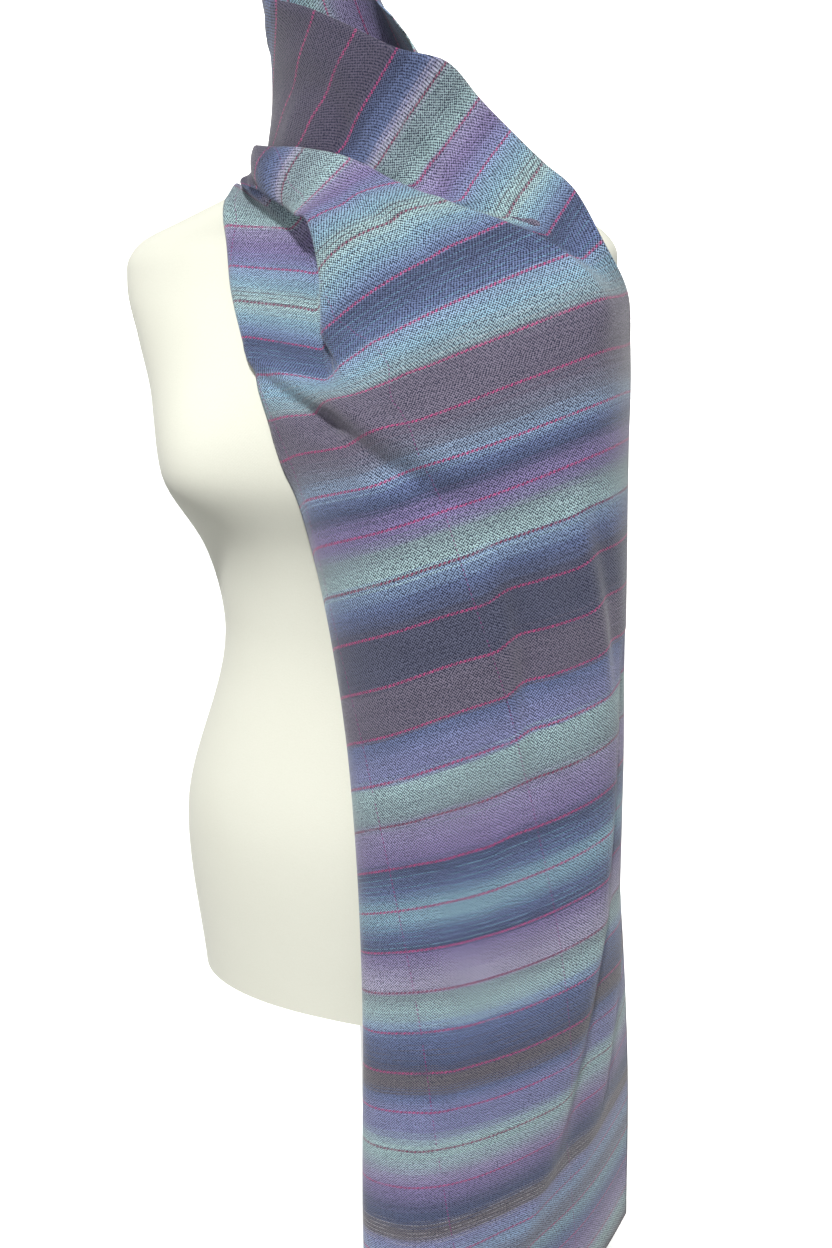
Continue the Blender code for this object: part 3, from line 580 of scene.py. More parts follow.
class Graph:
    """A node tree that is written as expressions."""

    def __init__(self, tree: bpy.types.NodeTree) -> None:
        """Wrap a node tree."""
        self.tree = tree

    def node(self, kind: str, settings: dict, inputs: dict, output: int | str = 0) -> Wire:
        """Add a node.

        Args:
            kind: Its type's name after "ShaderNode".
            settings: Its own settings; "stops" holds a ramp's places and colours.
            inputs: Values or wires, by the socket's name or number.
            output: The output to return.

        Returns:
            The chosen output.
        """
        made = self.tree.nodes.new("ShaderNode" + kind)
        for name, value in settings.items():
            if name == "stops":
                ramp = made.color_ramp
                for place, _ in value[2:]:
                    ramp.elements.new(place)
                for element, (place, colour) in zip(ramp.elements, value):
                    element.position, element.color = place, colour
            else:
                setattr(made, name, value)
        for name, value in inputs.items():
            self.feed(made.inputs[name], value)
        return Wire(self, made.outputs[output])

    def feed(self, socket: bpy.types.NodeSocket, value: Wire | float | tuple) -> None:
        """Link a wire to a socket, or set the socket's value.

        Args:
            socket: An input of a node.
            value: The wire, or a plain value.
        """
        if isinstance(value, Wire):
            self.tree.links.new(value.socket, socket)
        else:
            socket.default_value = value

    def math(self, operation: str, *values: Wire | float) -> Wire:
        """A Math node on one to three values."""
        return self.node("Math", {"operation": operation}, dict(enumerate(values)))

    def mix(self, factor: Wire | float, first: Wire | tuple, second: Wire | tuple) -> Wire:
        """The first colour where the factor is nothing, and the second where it is one."""
        inputs = {0: factor, 6: first, 7: second}
        return self.node("Mix", {"data_type": "RGBA"}, inputs, 2)

    def ramp(self, value: Wire, stops: Sequence[tuple]) -> Wire:
        """The colour that a value has among stops, which are places from 0 to 1 and colours."""
        return self.node("ValToRGB", {"stops": list(stops)}, {"Fac": value})

    def smooth(self, value: Wire, low: float, high: float) -> Wire:
        """Nothing below low, one above high, and a smooth rise between them."""
        inputs = {"Value": value, "From Min": low, "From Max": high}
        return self.node("MapRange", {"interpolation_type": "SMOOTHSTEP"}, inputs)

    def between(self, value: Wire, low: float, high: float) -> Wire:
        """One where the value lies between low and high."""
        return (value > low) * (value < high)

    def combine(self, x: Wire, y: Wire) -> Wire:
        """A vector of two values."""
        return self.node("CombineXYZ", {}, {0: x, 1: y})

    def split(self, vector: Wire) -> tuple[Wire, Wire, Wire]:
        """The three values of a vector.

        Args:
            vector: The vector.

        Returns:
            Its x, y and z.
        """
        x = self.node("SeparateXYZ", {}, {0: vector})
        y, z = (Wire(self, x.socket.node.outputs[axis]) for axis in (1, 2))
        return x, y, z

    def noise(self, place: Wire, scale: float, detail: float = 2.0, roughness: float = 0.5) -> Wire:
        """Soft noise, about a half on average."""
        inputs = {"Vector": place, "Scale": scale, "Detail": detail, "Roughness": roughness}
        return self.node("TexNoise", {}, inputs)

    def grain(
        self, x: Wire, y: Wire, spots: tuple[float, float], detail: float, roughness: float = 0.5
    ) -> Wire:
        """Soft noise over two values, with a number of spots to the unit of each.

        Args:
            x: The first value.
            y: The second value.
            spots: How many spots there are to the unit of each.
            detail: How many finer noises are added.
            roughness: How strong those are.

        Returns:
            The noise, about a half on average.
        """
        return self.noise(self.combine(x * spots[0], y * spots[1]), 1.0, detail, roughness)

    def recoloured(self, colour: Wire, value: Wire | float, saturation: float = 1.0) -> Wire:
        """The colour, made brighter or darker, and paler."""
        inputs = {"Value": value, "Saturation": saturation, "Color": colour}
        return self.node("HueSaturation", {}, inputs)

    def bump(
        self, height: Wire, distance: float, strength: float, below: Wire | None = None
    ) -> Wire:
        """A normal from a height.

        Args:
            height: The height, from nothing to one.
            distance: How far one stands up.
            strength: How much of the bump shows.
            below: The normal of a broader bump that this one lies on.

        Returns:
            The normal.
        """
        inputs = {"Height": height, "Distance": distance, "Strength": strength}
        if below is not None:
            inputs["Normal"] = below
        return self.node("Bump", {}, inputs)


class Surface(Graph):
    """The node tree of a new Principled material."""

    def __init__(self, name: str) -> None:
        """Start a material of that name."""
        self.material = bpy.data.materials.new(name)
        self.material.use_nodes = True
        super().__init__(self.material.node_tree)
        self.shader = self.tree.nodes["Principled BSDF"]

    def dressed(self, inputs: dict[str, Wire | float | tuple]) -> bpy.types.Material:
        """Finish the material.

        Args:
            inputs: Values or wires for the shader, by the socket's name.

        Returns:
            The material.
        """
        for name, value in inputs.items():
            self.feed(self.shader.inputs[name], value)
        return self.material


def linear(red: int, green: int, blue: int) -> tuple[float, float, float, float]:
    """A colour for a shader, from the 0 to 255 values of a screen."""
    parts = (value / 255 for value in (red, green, blue))
    return (*(p / 12.92 if p <= 0.04045 else ((p + 0.055) / 1.055) ** 2.4 for p in parts), 1.0)


class Dye(Enum):
    """The colours of the scarf's yarns. The collar's dark mauve is made darker than its yarn, as painted
    shade.
    """

    NAVY = linear(60, 76, 118)
    DENIM = linear(80, 104, 158)
    BLUE = linear(100, 130, 180)
    LIGHT_BLUE = linear(122, 158, 198)
    AQUA = linear(122, 172, 196)
    MINT = linear(158, 196, 200)
    SAGE = linear(134, 160, 168)
    PERIWINKLE = linear(118, 126, 182)
    VIOLET = linear(124, 108, 168)
    LAVENDER = linear(146, 136, 184)
    PALE_LAVENDER = linear(168, 162, 196)
    MAUVE = linear(110, 101, 124)
    # Dark mauve yarn, darkened further as painted shade for the collar, which lies in shade.
    AUBERGINE_WITH_SHADE = linear(82, 74, 98)
    SLATE = linear(78, 82, 110)
    GREY = linear(116, 124, 148)
    GREY_BROWN = linear(106, 100, 106)
    CREAM = linear(186, 184, 190)
    RASPBERRY = linear(196, 76, 134)
    DARK_RED = linear(146, 54, 90)
    PLUM = linear(120, 52, 108)
    WARP = linear(24, 28, 52)


@dataclass(frozen=True)
class Band:
    """The place, in stripes, at which the weft has reached a dye."""

    stripe: float
    dye: Dye


@dataclass(frozen=True)
class FineLines:
    """A group of thin weft lines between two places along the cloth."""

    start: float
    end: float
    spacing: float
    dye: Dye
    strength: float


# The weft's colours, darkened in places at the collar as painted shade. Each chart takes over from the one
# before where that ends.
INNER_CHART = [
    Band(-22.0, Dye.GREY_BROWN), Band(-21.5, Dye.PERIWINKLE), Band(-20.6, Dye.MINT),
    Band(-19.8, Dye.LAVENDER), Band(-19.0, Dye.NAVY), Band(-18.2, Dye.DENIM), Band(-17.4, Dye.AQUA),
    Band(-16.8, Dye.MINT), Band(-16.0, Dye.VIOLET), Band(-15.0, Dye.DENIM),
    Band(-14.2, Dye.LIGHT_BLUE), Band(-13.9, Dye.MAUVE), Band(-12.1, Dye.MAUVE),
    Band(-11.8, Dye.PERIWINKLE), Band(-11.0, Dye.MINT), Band(-10.3, Dye.SAGE),
    Band(-9.7, Dye.LIGHT_BLUE), Band(-9.0, Dye.DENIM), Band(-8.0, Dye.NAVY), Band(-7.2, Dye.VIOLET),
    Band(-6.4, Dye.LAVENDER), Band(-5.6, Dye.MINT), Band(-5.0, Dye.AQUA), Band(-4.2, Dye.DENIM),
    # The dark mauve bands at the end of this row are partly yarn colour and partly painted shade.
    Band(-3.7, Dye.NAVY), Band(-3.3, Dye.DENIM), Band(-3.0, Dye.AUBERGINE_WITH_SHADE), Band(-2.0, Dye.AUBERGINE_WITH_SHADE),
]
NECK_CHART = [
    # The dark mauve bands at the collar are partly yarn colour and partly painted shade.
    Band(-2.0, Dye.AUBERGINE_WITH_SHADE), Band(-0.1, Dye.AUBERGINE_WITH_SHADE), Band(0.1, Dye.NAVY),
    # Sage in place of mint from stripe 1.05 to 1.4 darkens the mint yarn as painted shade near the neck.
    Band(0.6, Dye.DENIM), Band(0.9, Dye.PALE_LAVENDER), Band(1.05, Dye.SAGE), Band(1.4, Dye.SAGE),
    Band(1.9, Dye.MINT), Band(2.1, Dye.LAVENDER), Band(2.5, Dye.VIOLET), Band(2.9, Dye.PERIWINKLE),
    Band(3.1, Dye.LIGHT_BLUE), Band(3.5, Dye.AQUA), Band(3.8, Dye.MINT), Band(4.1, Dye.MINT),
    Band(4.4, Dye.AQUA), Band(4.8, Dye.BLUE), Band(5.1, Dye.NAVY), Band(5.9, Dye.DENIM),
    Band(6.05, Dye.LIGHT_BLUE), Band(6.4, Dye.AQUA), Band(6.9, Dye.SAGE), Band(7.05, Dye.MAUVE),
    Band(8.2, Dye.MAUVE), Band(8.6, Dye.GREY), Band(9.0, Dye.LIGHT_BLUE),
]
CHEST_CHART = [
    Band(9.0, Dye.LIGHT_BLUE), Band(9.25, Dye.DENIM), Band(9.5, Dye.NAVY), Band(9.85, Dye.VIOLET),
    Band(10.1, Dye.VIOLET), Band(10.45, Dye.SAGE), Band(10.9, Dye.MINT), Band(11.1, Dye.LIGHT_BLUE),
    Band(11.5, Dye.DENIM), Band(11.9, Dye.SLATE), Band(12.9, Dye.SLATE), Band(13.1, Dye.MAUVE),
    Band(13.95, Dye.MAUVE), Band(14.1, Dye.DENIM), Band(14.6, Dye.PERIWINKLE),
    Band(14.95, Dye.PERIWINKLE), Band(15.1, Dye.MINT), Band(15.9, Dye.SAGE),
    Band(16.1, Dye.LAVENDER), Band(16.8, Dye.VIOLET), Band(17.05, Dye.NAVY), Band(17.6, Dye.DENIM),
    Band(17.9, Dye.AQUA), Band(18.2, Dye.AQUA), Band(18.6, Dye.DENIM), Band(18.95, Dye.NAVY),
    Band(19.1, Dye.VIOLET), Band(19.8, Dye.PALE_LAVENDER), Band(20.0, Dye.PALE_LAVENDER),
]
HEM_CHART = [
    Band(20.0, Dye.PALE_LAVENDER), Band(20.1, Dye.SAGE), Band(20.5, Dye.MINT),
    Band(20.9, Dye.LIGHT_BLUE), Band(21.1, Dye.DENIM), Band(21.9, Dye.NAVY),
    Band(22.1, Dye.GREY_BROWN), Band(22.4, Dye.GREY_BROWN), Band(22.6, Dye.DENIM),
    Band(23.0, Dye.PERIWINKLE), Band(23.5, Dye.PERIWINKLE), Band(23.9, Dye.MINT),
    Band(24.2, Dye.MINT), Band(24.8, Dye.LAVENDER), Band(25.1, Dye.VIOLET), Band(25.7, Dye.NAVY),
    Band(26.0, Dye.NAVY), Band(26.1, Dye.GREY_BROWN), Band(26.4, Dye.GREY_BROWN),
    Band(26.6, Dye.PERIWINKLE), Band(27.2, Dye.LIGHT_BLUE), Band(27.8, Dye.GREY),
    Band(28.2, Dye.AQUA), Band(28.8, Dye.DENIM), Band(29.3, Dye.VIOLET), Band(29.8, Dye.LAVENDER),
    Band(30.3, Dye.MINT), Band(31.0, Dye.GREY_BROWN),
]
CHARTS = [INNER_CHART, NECK_CHART, CHEST_CHART, HEM_CHART]

# Groups of thin lines in the weft.
FINE_LINES = [
    FineLines(3.60, 4.02, 0.12, Dye.GREY_BROWN, 0.85),
    FineLines(5.15, 6.05, 0.14, Dye.AQUA, 0.55),
    FineLines(6.20, 7.00, 0.16, Dye.CREAM, 0.35),
    FineLines(17.1, 17.9, 0.13, Dye.AQUA, 0.70),
    FineLines(18.3, 19.0, 0.12, Dye.AQUA, 0.65),
    FineLines(21.3, 22.6, 0.13, Dye.GREY_BROWN, 0.70),
    FineLines(25.9, 26.6, 0.11, Dye.CREAM, 0.65),
    FineLines(27.4, 28.1, 0.14, Dye.GREY_BROWN, 0.70),
]

# The line at each whole stripe is raspberry, but for these.
DARK_LINES = (1, 4, 11, 16, 20, 24)


@dataclass(frozen=True)
class Leg:
    """A straight stretch of a plum warp thread: a place on it, and its drift to the right in a stripe."""

    stripe: float
    across: float
    drift: float


# The thread runs towards the left edge down to the bust, and away from it below.
THREAD_ABOVE = Leg(1.5, 0.016, -0.006)
THREAD_BELOW = Leg(8.3, 0.013, 0.0047)


@dataclass(frozen=True)
class WoolFinish:
    """Space-dyed wool weft on a navy warp, with thin raspberry lines in the weft and plum warp threads."""

    roughness: float = 0.86
    sheen: float = 0.30
    sheen_roughness: float = 0.45
    line_width: float = 0.0017          # of the raspberry lines
    fine_width: float = 0.0009
    thread_width: float = 0.0009        # of the plum warp threads
    thread_apart: float = 0.115
    stitch: float = 0.0034              # from one dash of a line to the next
    pick: float = 0.0022                # the weave's repeat
    speckle: float = 700.0              # uneven places in a metre
    jitter: float = 3.0                 # how far they push the threads, as a phase
    crossing: float = 0.30              # the weave's share in the height, next to the uneven places
    gap_low: float = 0.36               # the heights between which the warp gives way to the weft
    gap_high: float = 0.60
    warp_shows: float = 0.96            # how much of the warp's colour the weave lets through
    wander: float = 0.10                # the breadth that a weft line strays over, in stripes
    wander_spots: tuple = (9.0, 0.8)    # spots in a metre across the cloth and in a stripe along it
    strewn: float = 0.75                # the breadth that a dye is strewn over in streaks, likewise
    streak_spots: tuple = (3.0, 16.0)
    tone_spots: tuple = (5.0, 30.0)
    mottle_spots: tuple = (22.0, 2.2)
    rough_noise: float = 0.7            # of the streaks and tones
    darkest: float = 0.42               # the weft's brightness where no tone or mottle adds to it
    tone: float = 1.00
    mottle: float = 0.44
    saturation: float = 0.80
    line_edges: tuple = (0.35, 0.75)    # where a line fades, from its middle, in its own widths
    line_slant: float = 40.0            # how far its dashes shift in a stripe, as a phase
    between_dashes: float = 0.35        # how much of a line shows there
    line_spots: tuple = (35.0, 3.0)
    line_wear: tuple = (0.22, 0.46)     # the noise between which a line is worn off and whole
    missing_line: int = 26              # this whole stripe has no raspberry line
    fine_spots: tuple = (45.0, 12.0)
    fine_wear: tuple = (0.34, 0.58)
    thread_spots: tuple = (2.2, 6.0)    # spots in a stripe along the cloth and in a metre across it
    thread_wear: tuple = (0.34, 0.46)
    thread_strengths: tuple = (0.95, 0.60)
    thread_gap: float = -0.25           # the sine under which a dash of a thread ends
    fuzz_spots: float = 900.0           # of the nap, in a metre
    fuzz_dark: float = 0.80
    fuzz_swing: float = 0.44
    fuzz_height: float = 0.5            # next to the weave's height of one
    weave_depth: float = 0.0006
    weave_strength: float = 0.55
    crumple_spots: float = 28.0
    crumple_depth: float = 0.0035
    crumple_strength: float = 0.35
    gloss: float = 0.25

    def material(self) -> bpy.types.Material:
        """Make the wool's material, which reads the cloth's own map: across and along, in metres.

        Returns:
            The material.
        """
        graph = Surface("scarf_wool")
        place = graph.node("UVMap", {"uv_map": CLOTH_MAP}, {})
        across, along, _ = graph.split(place)
        flat = graph.combine(across, along)
        stripe = along / STRIPE
        stray = graph.grain(across, stripe, self.wander_spots, 1.0)
        stripe = stripe + (stray - 0.5) * self.wander

        colour = self.weft(graph, across, stripe)
        colour = self.fine_lines(graph, colour, across, stripe)
        colour = self.lines(graph, colour, across, stripe)
        colour, height = self.woven(graph, colour, across, along)
        colour = self.threads(graph, colour, across, along, stripe)
        fuzz = graph.noise(flat, self.fuzz_spots)
        colour = graph.recoloured(colour, self.fuzz_dark + fuzz * self.fuzz_swing)
        crumple = graph.noise(flat, self.crumple_spots)
        soft = graph.bump(crumple, self.crumple_depth, self.crumple_strength)
        height = height + fuzz * self.fuzz_height
        return graph.dressed({
            "Base Color": colour,
            "Normal": graph.bump(height, self.weave_depth, self.weave_strength, soft),
            "Roughness": self.roughness,
            "Sheen Weight": self.sheen,
            "Sheen Roughness": self.sheen_roughness,
            "Specular IOR Level": self.gloss,
        })

    def weft(self, graph: Graph, across: Wire, stripe: Wire) -> Wire:
        """The weft's colour, from the charts.

        Args:
            graph: The material.
            across: The distance from the left edge.
            stripe: The place along the cloth.

        Returns:
            The colour.
        """
        streak = graph.grain(across, stripe, self.streak_spots, 3.0, self.rough_noise)
        strewn = stripe + (streak - 0.5) * self.strewn
        colour: Wire | None = None
        for chart in CHARTS:
            start, end = chart[0].stripe, chart[-1].stripe
            stops = [((band.stripe - start) / (end - start), band.dye.value) for band in chart]
            part = graph.ramp((strewn - start) / (end - start), stops)
            colour = part if colour is None else graph.mix(strewn > start, colour, part)
        tone = graph.grain(across, stripe, self.tone_spots, 3.0, self.rough_noise)
        mottle = graph.grain(across, stripe, self.mottle_spots, 2.0)
        value = self.darkest + tone * self.tone + mottle * self.mottle
        return graph.recoloured(colour, value, self.saturation)

    def fine_lines(self, graph: Graph, colour: Wire, across: Wire, stripe: Wire) -> Wire:
        """Lay the groups of thin lines over the weft.

        Args:
            graph: The material.
            colour: The weft's colour.
            across: The distance from the left edge.
            stripe: The place along the cloth.

        Returns:
            The colour with the lines.
        """
        broken = graph.grain(across, stripe, self.fine_spots, 2.0)
        for group in FINE_LINES:
            away = graph.math("PINGPONG", stripe - group.start, group.spacing / 2)
            half = self.fine_width / STRIPE / 2
            mask = graph.between(stripe, group.start, group.end) * (away < half)
            seen = mask * graph.smooth(broken, *self.fine_wear) * group.strength
            colour = graph.mix(seen, colour, group.dye.value)
        return colour

    def woven(self, graph: Graph, colour: Wire, across: Wire, along: Wire) -> tuple[Wire, Wire]:
        """Let the warp show between the picks.

        Args:
            graph: The material.
            colour: The colour of the weft and its lines.
            across: The distance from the left edge.
            along: The distance along the cloth.

        Returns:
            The colour, and the weave's height from 0 to 1.
        """
        turn = 2 * pi / self.pick
        uneven = graph.noise(graph.combine(across, along), self.speckle)
        jitter = uneven * self.jitter
        warp = graph.math("SINE", across * turn + jitter)
        pick = graph.math("SINE", along * turn - jitter)
        height = graph.smooth(warp * pick * self.crossing + uneven, self.gap_low, self.gap_high)
        return graph.mix((1 - height) * self.warp_shows, colour, Dye.WARP.value), height

    def lines(self, graph: Graph, colour: Wire, across: Wire, stripe: Wire) -> Wire:
        """Lay the thin line at each whole stripe over the cloth, in short dashes.

        Args:
            graph: The material.
            colour: The cloth's colour.
            across: The distance from the left edge.
            stripe: The place along the cloth.

        Returns:
            The colour with the lines.
        """
        away = graph.math("PINGPONG", stripe, 0.5)
        line = 1 - graph.smooth(away, *(self.line_width / STRIPE * edge for edge in self.line_edges))
        turns = across * (2 * pi / self.stitch) + stripe * self.line_slant
        dash = graph.math("SINE", turns) * 0.5 + 0.5
        wear = graph.grain(across, stripe, self.line_spots, 2.0)
        seen = self.between_dashes + dash * (1 - self.between_dashes)
        line = line * seen * graph.smooth(wear, *self.line_wear)
        dark = 0.0
        for number in DARK_LINES:
            dark = graph.between(stripe, number - 0.5, number + 0.5) + dark
        dye = graph.mix(dark, Dye.RASPBERRY.value, Dye.DARK_RED.value)
        kept = 1 - graph.between(stripe, self.missing_line - 0.5, self.missing_line + 0.5)
        return graph.mix(line * kept, colour, dye)

    def threads(self, graph: Graph, colour: Wire, across: Wire, along: Wire, stripe: Wire) -> Wire:
        """Lay the plum warp threads over the cloth, one beside the other.

        Args:
            graph: The material.
            colour: The cloth's colour.
            across: The distance from the left edge.
            along: The distance along the cloth.
            stripe: The place along it in stripes.

        Returns:
            The colour with the threads.
        """
        upper, lower = (
            leg.across + (stripe - leg.stripe) * leg.drift for leg in (THREAD_ABOVE, THREAD_BELOW)
        )
        first = graph.math("MAXIMUM", upper, lower)
        dash = graph.math("SINE", along * (2 * pi / self.stitch)) > self.thread_gap
        wear = graph.grain(stripe, across, self.thread_spots, 1.0)
        for number, strength in enumerate(self.thread_strengths):
            away = abs(across - first - number * self.thread_apart)
            mask = (away < self.thread_width / 2) * dash * graph.smooth(wear, *self.thread_wear)
            colour = graph.mix(mask * strength, colour, Dye.PLUM.value)
        return colour


@dataclass(frozen=True)
class JerseyFinish:
    """Cream knitted jersey, stretched over the form."""

    light: tuple = linear(232, 233, 221)
    dark: tuple = linear(218, 218, 203)
    roughness: float = 0.85
    sheen: float = 0.15
    gloss: float = 0.20
    rib: float = 0.0011                 # from one column of stitches to the next
    broad_spots: float = 9.0            # in a metre
    fine_spots: float = 700.0
    shares: tuple = (0.55, 0.35, 0.06)  # of the broad and fine spots and the ribs, in the colour
    rib_height: float = 0.25            # the fine spots make the rest of the height
    rib_depth: float = 0.0004
    rib_strength: float = 0.35
    broad_depth: float = 0.004
    broad_strength: float = 0.15

    def material(self) -> bpy.types.Material:
        """Make the jersey's material, on Object coordinates.

        Returns:
            The material.
        """
        graph = Surface("form_jersey")
        place = graph.node("TexCoord", {}, {}, "Object")
        x, _, z = graph.split(place)
        broad = graph.noise(place, self.broad_spots, 3.0)
        fine = graph.noise(place, self.fine_spots)
        ribs = graph.math("SINE", x * (2 * pi / self.rib)) * graph.math("SINE", z * (pi / self.rib))
        shade = broad * self.shares[0] + fine * self.shares[1] + ribs * self.shares[2]
        height = ribs * self.rib_height + fine * (1 - self.rib_height)
        soft = graph.bump(broad, self.broad_depth, self.broad_strength)
        return graph.dressed({
            "Base Color": graph.mix(shade, self.light, self.dark),
            "Normal": graph.bump(height, self.rib_depth, self.rib_strength, soft),
            "Roughness": self.roughness,
            "Sheen Weight": self.sheen,
            "Specular IOR Level": self.gloss,
        })


@dataclass(frozen=True)
class SteelFinish:
    """Steel, brushed round its own axis."""

    colour: tuple = (0.56, 0.56, 0.57, 1.0)
    worn: tuple = (0.44, 0.44, 0.45, 1.0)
    wear: float = 0.60                  # how much of the worn colour shows
    roughness: float = 0.30
    brush_spots: float = 900.0
    brush_roughness: float = 0.16
    brush_depth: float = 0.0002
    brush_strength: float = 0.3
    mark_spots: float = 14.0
    mark_roughness: float = 0.10

    def material(self) -> bpy.types.Material:
        """Make the steel's material, on Object coordinates.

        Returns:
            The material.
        """
        graph = Surface("stand_steel")
        place = graph.node("TexCoord", {}, {}, "Object")
        x, y, z = graph.split(place)
        radius = graph.math("SQRT", x * x + y * y)
        brushed = graph.grain(radius, z, (self.brush_spots, self.brush_spots), 2.0)
        marks = graph.noise(place, self.mark_spots, 4.0)
        uneven = brushed * self.brush_roughness + marks * self.mark_roughness
        return graph.dressed({
            "Base Color": graph.mix(marks * self.wear, self.colour, self.worn),
            "Roughness": self.roughness + uneven,
            "Normal": graph.bump(brushed, self.brush_depth, self.brush_strength),
            "Metallic": 1.0,
        })


@dataclass(frozen=True)
class PaintFinish:
    """Satin grey paint with a slight orange peel."""

    colour: tuple = linear(196, 194, 190)
    dirt: tuple = linear(160, 158, 154)
    wear: float = 0.5                   # how much of the dirt shows
    roughness: float = 0.42
    mark_spots: float = 40.0
    mark_roughness: float = 0.12
    peel_spots: float = 900.0
    peel_depth: float = 0.0002
    peel_strength: float = 0.3

    def material(self) -> bpy.types.Material:
        """Make the paint's material, on Object coordinates.

        Returns:
            The material.
        """
        graph = Surface("socket_paint")
        place = graph.node("TexCoord", {}, {}, "Object")
        marks = graph.noise(place, self.mark_spots, 3.0)
        peel = graph.noise(place, self.peel_spots)
        return graph.dressed({
            "Base Color": graph.mix(marks * self.wear, self.colour, self.dirt),
            "Roughness": self.roughness + marks * self.mark_roughness,
            "Normal": graph.bump(peel, self.peel_depth, self.peel_strength),
        })


@dataclass(frozen=True)
class PaperFinish:
    """Unevenly white paper that shines a little of itself, for the studio."""

    name: str
    glow: float
    colour: tuple = (0.92, 0.92, 0.91, 1.0)
    tint: float = 0.98                  # the brightness of its darker places
    roughness: float = 0.9
    spots: float = 0.6

    def material(self) -> bpy.types.Material:
        """Make the paper's material, on Object coordinates.

        Returns:
            The material.
        """
        graph = Surface(self.name)
        place = graph.node("TexCoord", {}, {}, "Object")
        darker = (*(value * self.tint for value in self.colour[:3]), 1.0)
        return graph.dressed({
            "Base Color": graph.mix(graph.noise(place, self.spots), self.colour, darker),
            "Roughness": self.roughness,
            "Emission Color": self.colour,
            "Emission Strength": self.glow,
        })


# ---------------------------------------------------------------- the scarf

@dataclass
class Drape:
    """The middle of the cloth's wall as a grid of points, laid over the dress form's solid."""

    form: BVHTree
    coarse_rows: float = 6.0            # rows a stripe while the cloth is laid
    fine_rows: float = 8.0              # and when it is finished
    start: float = -22.0
    end: float = 31.0
    collar_steps: int = 4
    roll_steps: int = 8
    flap_steps: int = 5
    full_fold: float = 0.0025           # the rise at which a fold is fully there
    spread: float = 0.3                 # the most of a fold's depth that its edge may take
    selvedge: float = 0.004
    clearance: float = 0.0018           # from what lies below to the middle of the wall
    cover: float = 0.0024               # from one turn's wall to that of the turn over it
    deepest: float = 0.012
    reach: float = 0.014
    fold_reach: float = 0.005
    underneath: float = -7.0            # up to this stripe the cloth lies under the front layer
    top_layer: float = -1.5
    passes: int = 6
    blend: int = 2
    fade: float = 0.7
    rounded_from: float = 6.0           # from this stripe on the sections are rounded
    rounded_fully: float = 8.0
    roundings: int = 10
    bow: float = 0.0040                 # how far the lines curve down at the left edge
    bow_width: float = 0.014
    bow_from: float = 3.0               # the stripe at which that starts
    bow_grows: float = 6.0              # and the stripes over which it comes in
    jog_reach: float = 4.0              # how far a jog is felt, in its own widths
    edge_steps: int = 8                 # of the short steps round each fold's two edges
    wide_cuts: int = 4                  # the parts that each wide step is cut into
    edge_cuts: int = 2
    same_turn: float = 3.0              # stripes within which two places lie in the same turn
    layer_apart: float = 0.4            # how far apart in the stack two layers at least are
    probe: float = 0.0001               # how far past a hit the next one is looked for

    def finished(self) -> tuple[np.ndarray, np.ndarray, np.ndarray]:
        """Lay the cloth and refine it.

        Returns:
            The points, the distance of each from the left edge, and its place in stripes.
        """
        count = round((self.end - self.start) * self.coarse_rows)
        stripes = np.linspace(self.start, self.end, count + 1)
        sheet, layers, stack = self.laid(stripes)
        sheet = self.settled(sheet, layers, stack, stripes)
        sheet = self.refined(sheet)
        count = round((self.end - self.start) * self.fine_rows)
        fine = np.linspace(self.start, self.end, count + 1)
        sheet = self.between_rows(sheet, stripes, fine)
        sheet = self.creased(sheet, fine, SMALL_CREASES)
        across = self.from_left(sheet)
        places = np.repeat(fine[:, None], sheet.shape[1], axis=1)
        falling = np.clip((places - self.bow_from) / self.bow_grows, 0, 1)
        places = places - self.bow / STRIPE * falling * np.exp(-((across / self.bow_width) ** 2))
        return sheet, across, places + self.jogged(across, fine) / STRIPE

    def facing(self, points: np.ndarray) -> np.ndarray:
        """The direction away from the form at each point."""
        found = [tuple(self.form.find_nearest(Vector(point))[1]) for point in points]
        return to_unit(np.array(found))

    def height(self, place: Vector) -> tuple[float, Vector]:
        """How far a point lies from the form.

        Args:
            place: The point.

        Returns:
            The distance, less than nothing inside the form, and the way out of it.
        """
        foot, facing, _, _ = self.form.find_nearest(place)
        away = place - foot
        outside = away.dot(facing) >= 0 or away.length > self.deepest
        height = away.length if outside else -away.length
        return height, away.normalized() if height > self.clearance / 2 else facing

    def hairpin(
        self,
        tip: np.ndarray,
        run_in: np.ndarray,
        run_out: np.ndarray,
        facing: np.ndarray,
        low: np.ndarray,
        high: np.ndarray,
        room: np.ndarray,
    ) -> list[tuple]:
        """Three points round a fold's edge, or along the cloth where the fold has faded.

        Args:
            tip: The edge on the lowest layer.
            run_in: The way the cloth comes in, at the height low.
            run_out: The way it leaves, at the height high.
            facing: The way the layers are stacked.
            low: The height of the layer that comes in.
            high: The height of the layer that leaves.
            room: The distance to the next fold's edge.

        Returns:
            Three pairs of a point and the height of its layer.
        """
        rise = high - low
        turn = (1 - (run_in * run_out).sum(axis=1, keepdims=True)) / 2
        folded = np.clip(np.abs(rise) / self.full_fold, 0, 1) * turn
        apart = (1 - folded) * np.minimum(self.full_fold, self.spread * room)
        first = tip + facing * low - apart * run_in
        middle = tip + facing * (low + high) / 2 + folded * np.abs(rise) / 2 * run_in
        last = tip + facing * high + apart * run_out
        return [(first, low), (middle, (low + high) / 2), (last, high)]

    def straight(self, start: np.ndarray, end: np.ndarray, steps: int) -> list[tuple]:
        """Evenly spaced points from start to end, on the lowest layer."""
        flat = 0 * start[:, :1]
        return [(start + (end - start) * step / steps, flat) for step in range(steps + 1)]

    def lowered(
        self, line: np.ndarray, under: np.ndarray, facing: np.ndarray, rise: np.ndarray
    ) -> np.ndarray:
        """The line, moved in where it stands higher than the fold that lies on it."""
        excess = ((line - under) * facing).sum(axis=1, keepdims=True)
        return line - np.where(rise > 0, np.maximum(excess, 0), 0) * facing

